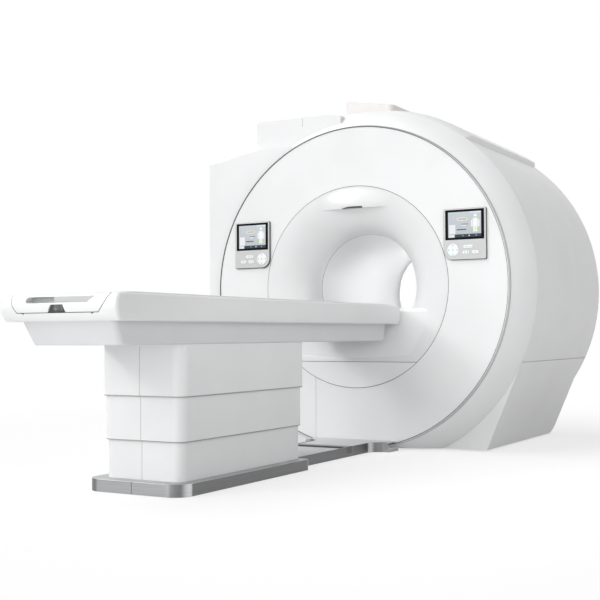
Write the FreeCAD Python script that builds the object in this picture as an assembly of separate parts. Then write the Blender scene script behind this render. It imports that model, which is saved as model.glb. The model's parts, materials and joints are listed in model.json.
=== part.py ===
import FreeCAD, Part
import math
import os

# Superconducting magnetic resonance scanner with its patient table.
# Millimetres. The origin is on the floor straight below the middle of the bore,
# +Y runs along the bore from the table to the rear, +Z is up, +X is the
# patient's left when the patient lies on the table head first.

V = FreeCAD.Vector

# ---- driving dimensions: bore and covers -------------------------------------
BORE_RADIUS = 350.0           # clear bore, 700 mm across
GANTRY_DEPTH = 1640.0         # front panel to rear panel
COVER_WALL = 6.0              # moulded covers
SEAM = 3.0                    # open line between two covers
LAP_GAP = 0.4                 # between a cover and the tongue behind it
LAP_LENGTH = 30.0             # how far a tongue reaches behind the next cover
FUNNEL_LAP = 15.0             # the same for the flare behind the front panel
FLOOR_GAP = 10.0              # covers stop this far above the floor
FUNNEL_WIDTH = 290.0          # from the bore out to the flare's mouth
FUNNEL_DEPTH = 220.0
FUNNEL_SEAM_DROP = 475.0      # this far below the axis the flare's mouth is closed flat
FUNNEL_SEAM_SAG = 1.5         # the seam is a very flat arc
RING_WIDTH = 7.0              # metal ring round the front panel
RING_SPREAD = 5.0             # the ring is wider at its root
RING_DEPTH = 20.0
RING_PROUD = 2.0
BEZEL_DEPTH = 158.0           # front panel to the crease where the barrel starts
BEZEL_BULGE = 8.0
BEZEL_WIDTH = 121.0           # from the metal ring out to the barrel
REAR_BEZEL_DEPTH = 67.0
REAR_BEZEL_WIDTH = 70.0
REAR_FUNNEL_WIDTH = 210.0
REAR_DOOR_WIDTH = 190.0       # service door round the rear flare, marked by a groove
GROOVE_DEPTH = 2.5
LOUVRE_HALF_LENGTH = 120.0    # air slots in the rear panel, low on both sides
LOUVRE_HEIGHT = 9.0
LOUVRE_PITCH = 26.0
LOUVRES = 9
LOUVRE_X = 500.0
LOUVRE_TOP_DROP = 560.0       # the uppermost slot below the axis
SKIRT_LEAN = 23.0             # degrees, side skirts lean in towards the floor
SKIRT_REAR_GAP = 68.0         # the skirts end this far before the rear crease
SKIRT_SEAM_DROP = 475.0
SKIRT_REAR_CORNER = 70.0
SADDLE_RISE = 28.0            # roof cover above the barrel
SADDLE_HALF_WIDTH = 690.0
SADDLE_SETBACK = 300.0        # roof cover's front edge behind the front panel
BARREL_UNDERLAP = 30.0        # barrel covers reach this far under the roof cover
DOCK_HALF_WIDTH = 281.0       # shallow recess where the table meets the gantry
DOCK_RECESS = 3.0

# ---- left front corner covers ------------------------------------------------
CHEEK_SETBACK = 30.0
CHEEK_DEPTH = 430.0
CHEEK_SIDE_INSET = 17.0       # its side inside the barrel's widest line
CHEEK_TOP_DROP = 200.0        # its level top below the barrel's highest line
CHEEK_SHOULDER_DROP = 40.0
CHEEK_SHOULDER_WIDTH = 185.0
CHEEK_SLOPE_WIDTH = 241.0     # from the shoulder up to the level top
CHEEK_CORNER = 24.0
CHEEK_BEVEL = 32.0
TURRET_SETBACK = 60.0
TURRET_DEPTH = 460.0
TURRET_OVERHANG = 58.0        # beyond the cheek's level top
TURRET_TAPER = 48.0           # height of its slanted foot
TURRET_TOP_DROP = 12.0        # its top below the barrel's highest line
TURRET_INNER = 202.0
TURRET_INNER_FOOT = 120.0
TURRET_CORNER = 26.0

# ---- cold head and its cover on the roof -------------------------------------
COLD_HEAD_X = -330.0
COLD_HEAD_Y = 280.0
NECK_RADIUS = 110.0
NECK_FLANGE_RADIUS = 140.0
NECK_DROP = 72.0              # its top below the barrel's highest line
COLD_HEAD_RADIUS = 75.0
COLD_HEAD_HEIGHT = 230.0
COLD_HEAD_PORT = 25.0
ROOF_BOX_HALF_WIDTH = 197.5
ROOF_BOX_DEPTH = 400.0
ROOF_BOX_ROOM = 44.0          # above the cold head, to the low side of its top
ROOF_BOX_SLOPE = 63.0
ROOF_BOX_CORNER = 45.0

# ---- magnet and coils --------------------------------------------------------
VESSEL_RING_GAP = 61.0        # the vessel is this much smaller than the metal ring
VESSEL_FLOOR_GAP = 60.0       # and clears the floor by this much
VESSEL_END_GAP = 85.0         # behind the front and rear panels
COIL_ROOM = 105.0             # from the bore out to the vessel's own bore
VESSEL_CHAMFER = 30.0
GRADIENT_GAP = 22.0           # from the bore out to the gradient coil
GRADIENT_END_GAP = 175.0
LINER_WALL = 6.0
RF_FORMER_WALL = 5.0
RF_RUNG_HEIGHT = 4.0
RF_RUNG_WIDTH = 30.0
RF_RUNGS = 16
RF_LENGTH = 600.0
CRADLE_HALF_WIDTH = 620.0
CRADLE_HEIGHT = 300.0
CRADLE_SPACING = 900.0
CRADLE_THICKNESS = 60.0
CRADLE_PLATE = 20.0
ANCHOR_RADIUS = 11.0          # floor anchors of the magnet and of the table
ANCHOR_X = 310.0
ANCHOR_Y = 300.0
HOOP_SECTION = 26.0
HOOP_STRUT = 20.0
HOOP_STRUTS = 8
HOOP_FLOOR_CUT = 100.0
PANEL_BAR_GAP = 25.0

# ---- visor over the bore -----------------------------------------------------
VISOR_LIP_RISE = 498.0        # above the axis
VISOR_HALF_WIDTH = 235.0
VISOR_PROUD = 20.0
VISOR_BACK = 90.0
VISOR_SWELL = 0.3             # its face's middle point, as shares of its depth
VISOR_SWELL_HEIGHT = 0.55     # and of its height
LAMP_HALF_WIDTH = 80.0
LAMP_HEIGHT = 8.0
LAMP_DEPTH = 26.0

# ---- control panels ----------------------------------------------------------
PANEL_OFFSET = 112.0          # its middle outside the flare's mouth
PANEL_RISE = 142.0            # its foot above the axis
PANEL_RING_GAP = 25.93        # its outer corner inside the metal ring
PANEL_WIDTH = 270.0
PANEL_HEIGHT = 309.0
PANEL_PROUD = 14.0
PANEL_CORNER = 9.0
PANEL_ROUND = 60.0            # the corner nearest the bore is a large arc
PANEL_BODY_DEPTH = 40.0
PANEL_BODY_INSET = 14.0
SCREEN_SIDE_MARGIN = 12.0
SCREEN_TOP_MARGIN = 8.0
KEY_FIELD_HEIGHT = 121.0      # below the screen
SCREEN_THICKNESS = 4.0
KEY_GAP = 0.6
KEY_PROUD = 2.0
KEY_DEPTH = 6.0
KEY_TRAVEL = 1.5
KEY_CORNER = 4.0
KEY_WIDTH = 41.0
UPPER_KEY_WIDTH = 58.0
KEY_HEIGHT = 20.0
UPPER_KEY_X = 96.0            # middles of the keys, from the middle of the pad
NEAR_KEY_X = 83.0
FAR_KEY_X = 143.0
UPPER_ROW = 18.0
LOWER_ROW = -16.0
PAD_RADIUS = 38.0

# ---- in-bore bridge ----------------------------------------------------------
BRIDGE_STEP = 1.0             # below the table's own running surface
BRIDGE_SIDE_GAP = 14.5        # to the liner, at its underside
BRIDGE_THICKNESS = 12.0
BRIDGE_LEG_X = 235.0
BRIDGE_LEG_WIDTH = 24.0
SILL_FOOT_DEPTH = 3.0         # the sill below the bridge, behind the front panel at its foot
SILL_DEPTH = 18.0             # and under its rolled edge
SILL_ROLL = 26.0
TABLE_GAP = 10.0              # table end to the front panel

# ---- patient table -----------------------------------------------------------
TABLE_DROP = 118.0            # edge of the sliding top below the bore axis
RIM_HALF_WIDTH = 313.0
RIM_SIDE_BULGE = 11.0
RIM_HEIGHT = 115.0
RIM_CORNER = 13.0
RIM_END_ROUND = 16.0          # its upright corners at the foot end, more than RIM_CORNER
RIM_FOOT_BULGE = 30.0
TOP_HALF_WIDTH = 260.0
TOP_THICKNESS = 22.0
TOP_PROUD = 9.0               # its edge above the rim
TOP_DISH = 9.0
TOP_FLAT_EDGE = 12.0          # level strip beside the dish
TOP_CORNER = 60.0
TOP_LENGTH = 2560.0
TOP_SIDE_GAP = 6.0
TOP_CAP_GAP = 35.0            # from the end cap to the top's foot end
TOP_RUNNING_GAP = 0.5
TOP_TRAVEL = 1650.0
CAP_DEPTH = 75.0
CAP_TOP_HALF = 270.0
CAP_BOTTOM_HALF = 222.0
CAP_SILL = 35.0               # rim left standing below the cap
CAP_MIDDLE_HALF = 257.2       # its sides are arcs through this half width
CAP_MIDDLE_RISE = 46.0        # this far above its bottom
CAP_GAP = 0.8
GRIP_LEFT = -177.0
GRIP_RIGHT = 192.0
GRIP_DROP = 12.0              # below the rim's top
GRIP_HEIGHT = 26.0
GRIP_SLANT = 28.0
GRIP_DIVIDE = -22.0           # deep for the fingers left of this, shallow right of it
GRIP_DEPTH = 50.0
GRIP_SHALLOW = 14.0
CLIP_X = 190.0                # two small clip notches in the cap's lower seam
CLIP_HALF_WIDTH = 8.0
CLIP_DEPTH = 6.0
LATCH_BOTTOM_HALF = 50.0
LATCH_TOP_HALF = 33.0
LATCH_HEIGHT = 34.0
LATCH_DEPTH = 14.0
LATCH_TRAVEL = 4.0
LATCH_INSET = 6.0             # its face behind the cap's foremost line
TRAY_HEIGHT = 101.0
TRAY_TOP_HALF = 257.0
TRAY_DRAFT = 11.0             # its sides lean in this much towards the bottom
TRAY_FOOT_INSET = 30.0        # behind the rim's foot end
TRAY_FOOT_RAKE = 60.0         # its foot end leans in more
TRAY_END_GAP = 92.0           # to the front panel
TRAY_CORNER = 28.0
TRAY_EDGE = 9.0               # its rounded bottom edge
TRAY_WALL = 4.0
FRAME_BEAM_X = 150.0
FRAME_BEAM_WIDTH = 40.0
FRAME_MARGIN = 40.0
FRAME_CROSSBARS = 4

# ---- table drive -------------------------------------------------------------
CHANNEL_HALF_WIDTH = 110.0
CHANNEL_FLOOR = 10.0
CHANNEL_ROOF = 13.5
SLOT_HALF_WIDTH = 14.0
CHANNEL_FOOT_INSET = 10.0     # from the sliding top's foot end
CHANNEL_END_INSET = 20.0      # from the rim's end
BELT_WIDTH = 30.0
BELT_THICKNESS = 4.0
PULLEY_RADIUS = 21.0
PULLEY_RISE = 36.0            # axle above the channel's floor
PULLEY_WIDTH = 34.0
PULLEY_AXLE = 6.0
PULLEY_INSET = 35.0
BELT_GAP = 0.3
FIN_LENGTH = 60.0
FIN_INSET = 60.0
FIN_HALF_THICKNESS = 8.0

# ---- pedestal and lift -------------------------------------------------------
SHELL_HALF_WIDTH = 238.0      # the outermost, upper shell
SHELL_FOOT_STEP = 59.0        # inside the base's foot end
SHELL_OVERHANG = 10.0         # beyond its other end
SHELL_STEP = 9.0              # each lower shell is this much smaller all round
SHELL_WALL = 3.0
SHELL_CORNER = 58.0
SHELL_END_SHARE = 1 / 3       # radius of its end corners to that of its foot corners
SHELL_SEAM = 0.8
UPPER_SHELL_BOTTOM = 442.0
MIDDLE_SHELL_BOTTOM = 238.0
LOWER_SHELL_TOP = 263.0
COLUMN_SIZE = 180.0
COLUMN_WALL = 8.0
COLUMN_GAP = 0.5
COLUMN_INSET = 290.0          # from each end of the upper shell
COLUMN_FIXED_TOP = 300.0
COLUMN_MIDDLE_BOTTOM = 190.0
COLUMN_MIDDLE_TOP = 490.0
COLUMN_INNER_BOTTOM = 365.0
CARRIER_TOP = 486.0
CARRIER_THICKNESS = 8.0

# ---- base and floor plinth ---------------------------------------------------
BASE_HALF_WIDTH = 280.0
BASE_LENGTH = 1148.0
BASE_CORNER = 92.0
BASE_END_CORNER = 25.0
BASE_HEIGHT = 58.0
BASE_TRIM_WALL = 4.0
BASE_LEDGE = 5.0
BASE_PLATE = 12.0
BASE_ANCHOR_X = 180.0
BASE_ANCHOR_INSET = 150.0
PLINTH_LENGTH = 1080.0        # base to front panel
PLINTH_HALF_WIDTH = 187.0
PLINTH_HEIGHT = 60.0
PLINTH_LEAN = 20.0            # its ends lean in by this much at the top
PLINTH_FLARE_HALF = 302.0
PLINTH_FLARE_LENGTH = 125.0
PLINTH_FLARE_RADIUS = 85.0
PLINTH_COVER_LOW = 50.0
PLINTH_COVER_HIGH = 57.0
PLINTH_COVER_THICKNESS = 6.0
DOCK_BAR_DISTANCE = 438.0     # to the front panel
DOCK_BAR_WIDTH = 68.0
DOCK_BAR_BOTTOM = 18.0

# ---- places that follow from the above ---------------------------------------
FUNNEL_RADIUS = BORE_RADIUS + FUNNEL_WIDTH
PANEL_X = FUNNEL_RADIUS + PANEL_OFFSET
RING_RADIUS = PANEL_RING_GAP + math.hypot(PANEL_X + PANEL_WIDTH / 2, PANEL_RISE + PANEL_HEIGHT)
BARREL_RADIUS = RING_RADIUS + BEZEL_WIDTH
REAR_PANEL_RADIUS = BARREL_RADIUS - REAR_BEZEL_WIDTH
REAR_FUNNEL_RADIUS = BORE_RADIUS + REAR_FUNNEL_WIDTH
VESSEL_RADIUS = RING_RADIUS - VESSEL_RING_GAP
PANEL_BAR_RADIUS = VESSEL_RADIUS + PANEL_BAR_GAP
WARM_BORE_RADIUS = BORE_RADIUS + COIL_ROOM
GRADIENT_INNER = BORE_RADIUS + GRADIENT_GAP
BORE_HEIGHT = VESSEL_RADIUS + VESSEL_FLOOR_GAP      # bore axis above the floor
FUNNEL_SEAM_HEIGHT = BORE_HEIGHT - FUNNEL_SEAM_DROP
SKIRT_SEAM_HEIGHT = BORE_HEIGHT - SKIRT_SEAM_DROP
VISOR_LIP_HEIGHT = BORE_HEIGHT + VISOR_LIP_RISE
PANEL_BOTTOM = BORE_HEIGHT + PANEL_RISE
SCREEN_WIDTH = PANEL_WIDTH - 2 * SCREEN_SIDE_MARGIN
SCREEN_HEIGHT = PANEL_HEIGHT - SCREEN_TOP_MARGIN - KEY_FIELD_HEIGHT
VESSEL_LENGTH = GANTRY_DEPTH - 2 * VESSEL_END_GAP
GRADIENT_LENGTH = GANTRY_DEPTH - 2 * GRADIENT_END_GAP
FRONT = -GANTRY_DEPTH / 2
REAR = GANTRY_DEPTH / 2
CREASE = FRONT + BEZEL_DEPTH
REAR_CREASE = REAR - REAR_BEZEL_DEPTH
SKIRT_REAR = REAR_CREASE - SKIRT_REAR_GAP
LINER_FRONT = FRONT + FUNNEL_DEPTH
LINER_REAR = REAR - FUNNEL_DEPTH
TONGUE_OUTER = BARREL_RADIUS - COVER_WALL - LAP_GAP
TONGUE_INNER = TONGUE_OUTER - COVER_WALL
SADDLE_FRONT = FRONT + SADDLE_SETBACK
SADDLE_REAR = REAR_CREASE
SADDLE_RADIUS = BARREL_RADIUS + SADDLE_RISE
BARREL_TOP = BORE_HEIGHT + BARREL_RADIUS
CHEEK_OUTER = BARREL_RADIUS - CHEEK_SIDE_INSET
CHEEK_TOP_HEIGHT = BARREL_TOP - CHEEK_TOP_DROP
CHEEK_SHOULDER_HEIGHT = CHEEK_TOP_HEIGHT - CHEEK_SHOULDER_DROP
CHEEK_SHOULDER_END = CHEEK_OUTER - CHEEK_SHOULDER_WIDTH
CHEEK_TOP_START = CHEEK_SHOULDER_END - CHEEK_SLOPE_WIDTH
TURRET_OUTER = CHEEK_TOP_START + TURRET_OVERHANG
TURRET_BOTTOM = CHEEK_TOP_HEIGHT + TURRET_TAPER
TURRET_TOP = BARREL_TOP - TURRET_TOP_DROP
NECK_TOP = BARREL_TOP - NECK_DROP
COLD_HEAD_TOP = NECK_TOP + COLD_HEAD_HEIGHT
ROOF_BOX_LOW = COLD_HEAD_TOP + ROOF_BOX_ROOM
ROOF_BOX_HIGH = ROOF_BOX_LOW + ROOF_BOX_SLOPE
TOP_EDGE_HEIGHT = BORE_HEIGHT - TABLE_DROP
TOP_UNDERSIDE = TOP_EDGE_HEIGHT - TOP_THICKNESS
RIM_TOP = TOP_EDGE_HEIGHT - TOP_PROUD
RIM_BOTTOM = RIM_TOP - RIM_HEIGHT
CAP_BOTTOM = RIM_BOTTOM + CAP_SILL
GRIP_TOP = RIM_TOP - GRIP_DROP
GRIP_BOTTOM = GRIP_TOP - GRIP_HEIGHT
LATCH_TOP = CAP_BOTTOM + LATCH_HEIGHT
TRAY_BOTTOM = RIM_BOTTOM - TRAY_HEIGHT
RIM_END = FRONT - TABLE_GAP
TOP_END = RIM_END - TABLE_GAP
TOP_FOOT = TOP_END - TOP_LENGTH
RIM_FOOT = TOP_FOOT - TOP_CAP_GAP - CAP_DEPTH
RUNNING_SURFACE = TOP_UNDERSIDE - TOP_RUNNING_GAP
BRIDGE_TOP = RUNNING_SURFACE - BRIDGE_STEP
BRIDGE_DROP = BORE_HEIGHT - BRIDGE_TOP + BRIDGE_THICKNESS
BRIDGE_HALF_WIDTH = math.sqrt(BORE_RADIUS ** 2 - BRIDGE_DROP ** 2) - BRIDGE_SIDE_GAP
TRAY_FOOT = RIM_FOOT + TRAY_FOOT_INSET
TRAY_END = FRONT - TRAY_END_GAP
CHANNEL_BOTTOM = RIM_BOTTOM + CHANNEL_FLOOR
CHANNEL_TOP = RUNNING_SURFACE - CHANNEL_ROOF
CHANNEL_FOOT = TOP_FOOT + CHANNEL_FOOT_INSET
CHANNEL_END = RIM_END - CHANNEL_END_INSET
PULLEY_HEIGHT = CHANNEL_BOTTOM + PULLEY_RISE
BASE_END = FRONT - PLINTH_LENGTH
BASE_FOOT = BASE_END - BASE_LENGTH
SHELL_FOOT = BASE_FOOT + SHELL_FOOT_STEP
SHELL_END = BASE_END + SHELL_OVERHANG
COLUMN_YS = (SHELL_FOOT + COLUMN_INSET, SHELL_END - COLUMN_INSET)
PLINTH_FLARE_Y = FRONT - PLINTH_FLARE_LENGTH
DOCK_BAR_Y = FRONT - DOCK_BAR_DISTANCE
WIDE = 4000.0                 # larger than the scanner, for cutting blocks
PAST = 1.0                    # how far a cutting block reaches past a face
NEAR = 1e-6                   # two coordinates closer than this are one
ARC_MIDDLE = 1 - math.sin(math.pi / 4)   # inset of a round corner's middle, per radius


# ---- helpers -----------------------------------------------------------------
def outline(place, start, *steps):
    """A flat face. A step is a point, or (through, end) for an arc."""
    edges = []
    here = start
    for step in steps:
        if isinstance(step[0], tuple):
            through, end = step
            edges.append(Part.Arc(place(*here), place(*through), place(*end)).toShape())
            here = end
        else:
            edges.append(Part.makeLine(place(*here), place(*step)))
            here = step
    if here != start:
        edges.append(Part.makeLine(place(*here), place(*start)))
    return Part.Face(Part.Wire(edges))


def beside_axis(radius, y):
    return V(0, y, BORE_HEIGHT + radius)


def at_y(y):
    return lambda x, z: V(x, y, z)


def at_x(x):
    return lambda y, z: V(x, y, z)


def at_z(z):
    return lambda x, y: V(x, y, z)


def turned(start, *steps):
    """A solid turned about the bore axis from a (radius, y) outline."""
    face = outline(beside_axis, start, *steps)
    return face.revolve(V(0, 0, BORE_HEIGHT), V(0, 1, 0), 360)


def tube(inner, outer, y0, y1):
    return turned((inner, y0), (outer, y0), (outer, y1), (inner, y1))


def rod(radius, y0, y1):
    return Part.makeCylinder(radius, y1 - y0, V(0, y0, BORE_HEIGHT), V(0, 1, 0))


def block(x0, x1, y0, y1, z0, z1):
    return Part.makeBox(x1 - x0, y1 - y0, z1 - z0, V(x0, y0, z0))


def above(shape, z):
    return shape.cut(block(-WIDE, WIDE, -WIDE, WIDE, -WIDE, z))


def below(shape, z):
    return shape.cut(block(-WIDE, WIDE, -WIDE, WIDE, z, WIDE))


def about_bore(shape, degrees):
    turned_copy = shape.copy()
    turned_copy.rotate(V(0, 0, BORE_HEIGHT), V(0, 1, 0), degrees)
    return turned_copy


def right_of(shape, x):
    return shape.cut(block(-WIDE, x, -WIDE, WIDE, -WIDE, WIDE))


def mirrored(shape):
    return shape.mirror(V(0, 0, 0), V(1, 0, 0))


def rounded(x0, x1, y0, y1, z0, z1, foot_r, end_r):
    """A box with upright edges rounded, more at its foot end than at the other."""
    body = block(x0, x1, y0, y1, z0, z1)
    upright = [e for e in body.Edges if abs(e.Vertexes[0].Z - e.Vertexes[1].Z) > NEAR]
    foot = [e for e in upright if abs(e.Vertexes[0].Y - y0) < NEAR]
    end = [e for e in upright if abs(e.Vertexes[0].Y - y1) < NEAR]
    body = body.makeFillet(foot_r, foot)
    if end_r:
        end = [e for e in body.Edges
               if abs(e.Vertexes[0].Y - y1) < NEAR and abs(e.Vertexes[-1].Y - y1) < NEAR
               and abs(e.Vertexes[0].Z - e.Vertexes[-1].Z) > NEAR]
        body = body.makeFillet(end_r, end)
    return body


# ---- magnet and what it carries ----------------------------------------------
def magnet_vessel():
    """Vacuum vessel of the magnet, with the welded neck for the cold head."""
    half = VESSEL_LENGTH / 2
    shell = turned((WARM_BORE_RADIUS, -half), (VESSEL_RADIUS - VESSEL_CHAMFER, -half),
                   (VESSEL_RADIUS, VESSEL_CHAMFER - half), (VESSEL_RADIUS, half - VESSEL_CHAMFER),
                   (VESSEL_RADIUS - VESSEL_CHAMFER, half), (WARM_BORE_RADIUS, half))
    foot = V(COLD_HEAD_X, COLD_HEAD_Y, BORE_HEIGHT + VESSEL_RADIUS - 2 * VESSEL_CHAMFER
             - (VESSEL_RADIUS - math.sqrt(VESSEL_RADIUS ** 2 - COLD_HEAD_X ** 2)))
    neck = Part.makeCylinder(NECK_RADIUS, NECK_TOP - foot.z, foot)
    flange = Part.makeCylinder(NECK_FLANGE_RADIUS, CRADLE_PLATE,
                               V(COLD_HEAD_X, COLD_HEAD_Y, NECK_TOP - CRADLE_PLATE))
    return shell.fuse([neck, flange])


def cold_head():
    """Refrigerator cold head: flange, cylinder, valve motor."""
    at = V(COLD_HEAD_X, COLD_HEAD_Y, NECK_TOP)
    flange = Part.makeCylinder(NECK_FLANGE_RADIUS, CRADLE_PLATE, at)
    motor_foot = COLD_HEAD_TOP - 2 * COLD_HEAD_RADIUS
    barrel = Part.makeCylinder(COLD_HEAD_RADIUS, motor_foot - NECK_TOP, at)
    motor = Part.makeCylinder(COLD_HEAD_RADIUS + COVER_WALL, COLD_HEAD_TOP - motor_foot,
                              V(COLD_HEAD_X, COLD_HEAD_Y, motor_foot))
    port = Part.makeCylinder(COLD_HEAD_PORT, 2 * COLD_HEAD_RADIUS,
                             V(COLD_HEAD_X, COLD_HEAD_Y, motor_foot + COLD_HEAD_RADIUS), V(0, 1, 0))
    return barrel.fuse([flange, motor, port])


def magnet_cradle():
    """Steel cradle that carries the magnet on the floor."""
    half = CRADLE_SPACING / 2
    saddles = []
    for y in (-half, half):
        saddle = block(-CRADLE_HALF_WIDTH, CRADLE_HALF_WIDTH, y - CRADLE_THICKNESS / 2,
                       y + CRADLE_THICKNESS / 2, 0, CRADLE_HEIGHT)
        saddles.append(saddle.cut(rod(VESSEL_RADIUS, -WIDE, WIDE)))
    plates = [block(side * ANCHOR_X - CRADLE_THICKNESS, side * ANCHOR_X + CRADLE_THICKNESS,
                    -half, half, 0, CRADLE_PLATE) for side in (-1, 1)]
    middle = block(-CRADLE_HALF_WIDTH, CRADLE_HALF_WIDTH, -2 * CRADLE_THICKNESS,
                   2 * CRADLE_THICKNESS, 0, CRADLE_PLATE)
    holes = anchor_holes(ANCHOR_X, (-ANCHOR_Y, ANCHOR_Y), CRADLE_PLATE)
    return middle.fuse(saddles + plates).removeSplitter().cut(holes)


def anchor_holes(x, ys, thickness):
    return [Part.makeCylinder(ANCHOR_RADIUS, thickness + 2 * PAST, V(side * x, y, -PAST))
            for side in (-1, 1) for y in ys]


def gradient_coil():
    half = GRADIENT_LENGTH / 2
    outer = WARM_BORE_RADIUS - LAP_GAP
    groove = 2 * COVER_WALL
    return turned((GRADIENT_INNER, -half), (outer - groove, -half), (outer, groove - half),
                  (outer, half - groove), (outer - groove, half), (GRADIENT_INNER, half))


def rf_coil():
    """Body coil: a thin former with rungs and two end rings."""
    inner = BORE_RADIUS + LINER_WALL + LAP_GAP
    face = inner + RF_FORMER_WALL
    half = RF_LENGTH / 2
    former = tube(inner, face, -half, half)
    ends = [tube(inner, face + RF_RUNG_HEIGHT, y, y + RF_RUNG_WIDTH)
            for y in (-half + RF_RUNG_WIDTH, half - 2 * RF_RUNG_WIDTH)]
    rung = block(-RF_RUNG_WIDTH / 2, RF_RUNG_WIDTH / 2, -half + RF_RUNG_WIDTH, half - RF_RUNG_WIDTH,
                 BORE_HEIGHT + inner + RF_FORMER_WALL / 2, BORE_HEIGHT + face + RF_RUNG_HEIGHT)
    rungs = [about_bore(rung, n * 360.0 / RF_RUNGS) for n in range(RF_RUNGS)]
    return former.fuse(ends + rungs).removeSplitter()


def bore_liner():
    return tube(BORE_RADIUS, BORE_RADIUS + LINER_WALL, LINER_FRONT + LAP_GAP, LINER_REAR - LAP_GAP)


def cover_frame():
    """Three hoops on struts from the magnet, which carry the covers."""
    outer = TONGUE_INNER - LAP_GAP
    half = HOOP_STRUT / 2
    turns = [(n + 0.5) * 360.0 / HOOP_STRUTS for n in range(HOOP_STRUTS)]
    turns = [t for t in turns if BORE_HEIGHT + outer * math.cos(math.radians(t)) > HOOP_FLOOR_CUT]
    front = CREASE + COVER_WALL
    rear = REAR_CREASE - COVER_WALL - HOOP_SECTION
    hoops = []
    for y in (front, -HOOP_SECTION / 2, rear):
        foot = min(y, VESSEL_LENGTH / 2 - VESSEL_CHAMFER - half)
        strut = block(-half, half, foot, y + HOOP_SECTION, BORE_HEIGHT + VESSEL_RADIUS - PAST,
                      BORE_HEIGHT + outer - HOOP_SECTION / 2).cut(rod(VESSEL_RADIUS, -WIDE, WIDE))
        if y == front:
            strut = strut.fuse(block(-half, half, FRONT + COVER_WALL, y + HOOP_SECTION,
                                     BORE_HEIGHT + PANEL_BAR_RADIUS,
                                     BORE_HEIGHT + PANEL_BAR_RADIUS + HOOP_STRUT))
        hoop = tube(outer - HOOP_SECTION, outer, y, y + HOOP_SECTION)
        hoops.append(above(hoop.fuse([about_bore(strut, t) for t in turns]), HOOP_FLOOR_CUT))
    return Part.makeCompound(hoops)


# ---- front covers ------------------------------------------------------------
def flare_section(turn, radius_gap, y_gap, mouth_gap=0.0):
    """Outline of the flare, from its mouth (turn 0) to the bore (turn 90)."""
    close = 1 - math.sin(math.radians(turn))
    radius = BORE_RADIUS + (FUNNEL_RADIUS - mouth_gap - BORE_RADIUS) * close + radius_gap
    flat = BORE_HEIGHT - FUNNEL_SEAM_HEIGHT - mouth_gap
    bottom = BORE_RADIUS + (flat - BORE_RADIUS) * close + radius_gap
    bottom += FUNNEL_SEAM_SAG * close
    y = FRONT + FUNNEL_DEPTH * (1 - math.cos(math.radians(turn))) + y_gap
    angle = math.asin((BORE_HEIGHT - FUNNEL_SEAM_HEIGHT) / FUNNEL_RADIUS)
    x, z = radius * math.cos(angle), BORE_HEIGHT - radius * math.sin(angle)
    left, right = V(-x, y, z), V(x, y, z)
    top = Part.Arc(left, V(0, y, BORE_HEIGHT + radius), right).toShape()
    foot = Part.Arc(right, V(0, y, BORE_HEIGHT - bottom), left).toShape()
    return Part.Wire([top, foot])


def flare_void(radius_gap=0.0, y_gap=0.0, mouth_gap=SEAM):
    turns = (0, 22.5, 45, 67.5, 90)
    return Part.makeLoft([flare_section(t, radius_gap, y_gap, mouth_gap) for t in turns], True, False)


def front_funnel():
    """Flare from the front panel into the bore, with a tongue behind the panel."""
    body = flare_void(COVER_WALL, COVER_WALL)
    mouth = FUNNEL_RADIUS - SEAM / 2
    lap = mouth + FUNNEL_LAP
    land = rod(mouth, FRONT, FRONT + 2 * COVER_WALL)
    tongue = rod(lap, FRONT + COVER_WALL + LAP_GAP, FRONT + 2 * COVER_WALL)
    rim = above(land.fuse(tongue), FUNNEL_SEAM_HEIGHT + SEAM / 2)
    deeper = rod(BORE_RADIUS + 2 * COVER_WALL, LINER_FRONT, LINER_FRONT + 2 * COVER_WALL)
    body = above(body, FUNNEL_SEAM_HEIGHT + SEAM / 2)
    return body.fuse(rim).cut(flare_void()).cut(deeper)


def sill():
    """Shallow wall in the flare below the bridge, rolled over into level wings beside it."""
    w, roll = COVER_WALL, SILL_ROLL
    foot, face = FRONT + SILL_FOOT_DEPTH, FRONT + SILL_DEPTH
    low, high = FUNNEL_SEAM_HEIGHT + SEAM / 2, BRIDGE_TOP
    back = LINER_FRONT - SEAM
    bend, inner_bend = roll * ARC_MIDDLE, (roll - w) * ARC_MIDDLE
    section = outline(at_x(-FUNNEL_RADIUS), (foot, low), (face, high - roll),
                      ((face + bend, high - bend), (face + roll, high)), (back, high), (back, high - w),
                      (face + roll, high - w),
                      ((face + w + inner_bend, high - w - inner_bend), (face + w, high - roll)),
                      (foot + w, low))
    wall = section.extrude(V(2 * FUNNEL_RADIUS, 0, 0)).common(flare_void(-LAP_GAP))
    half = BRIDGE_HALF_WIDTH + LAP_GAP
    return wall.cut(block(-half, half, face + roll, back + PAST, high - BRIDGE_THICKNESS, high + PAST))


def lower_funnel_panel():
    """Flat panel that closes the funnel's mouth below the table, and the sill above it."""
    mouth = FUNNEL_RADIUS - SEAM / 2
    plate = rod(mouth, FRONT, FRONT + 2 * COVER_WALL)
    tongue = rod(mouth + FUNNEL_LAP, FRONT + COVER_WALL + LAP_GAP, FRONT + 2 * COVER_WALL)
    return Part.makeCompound([below(plate.fuse(tongue), FUNNEL_SEAM_HEIGHT - SEAM / 2), sill()])


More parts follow.
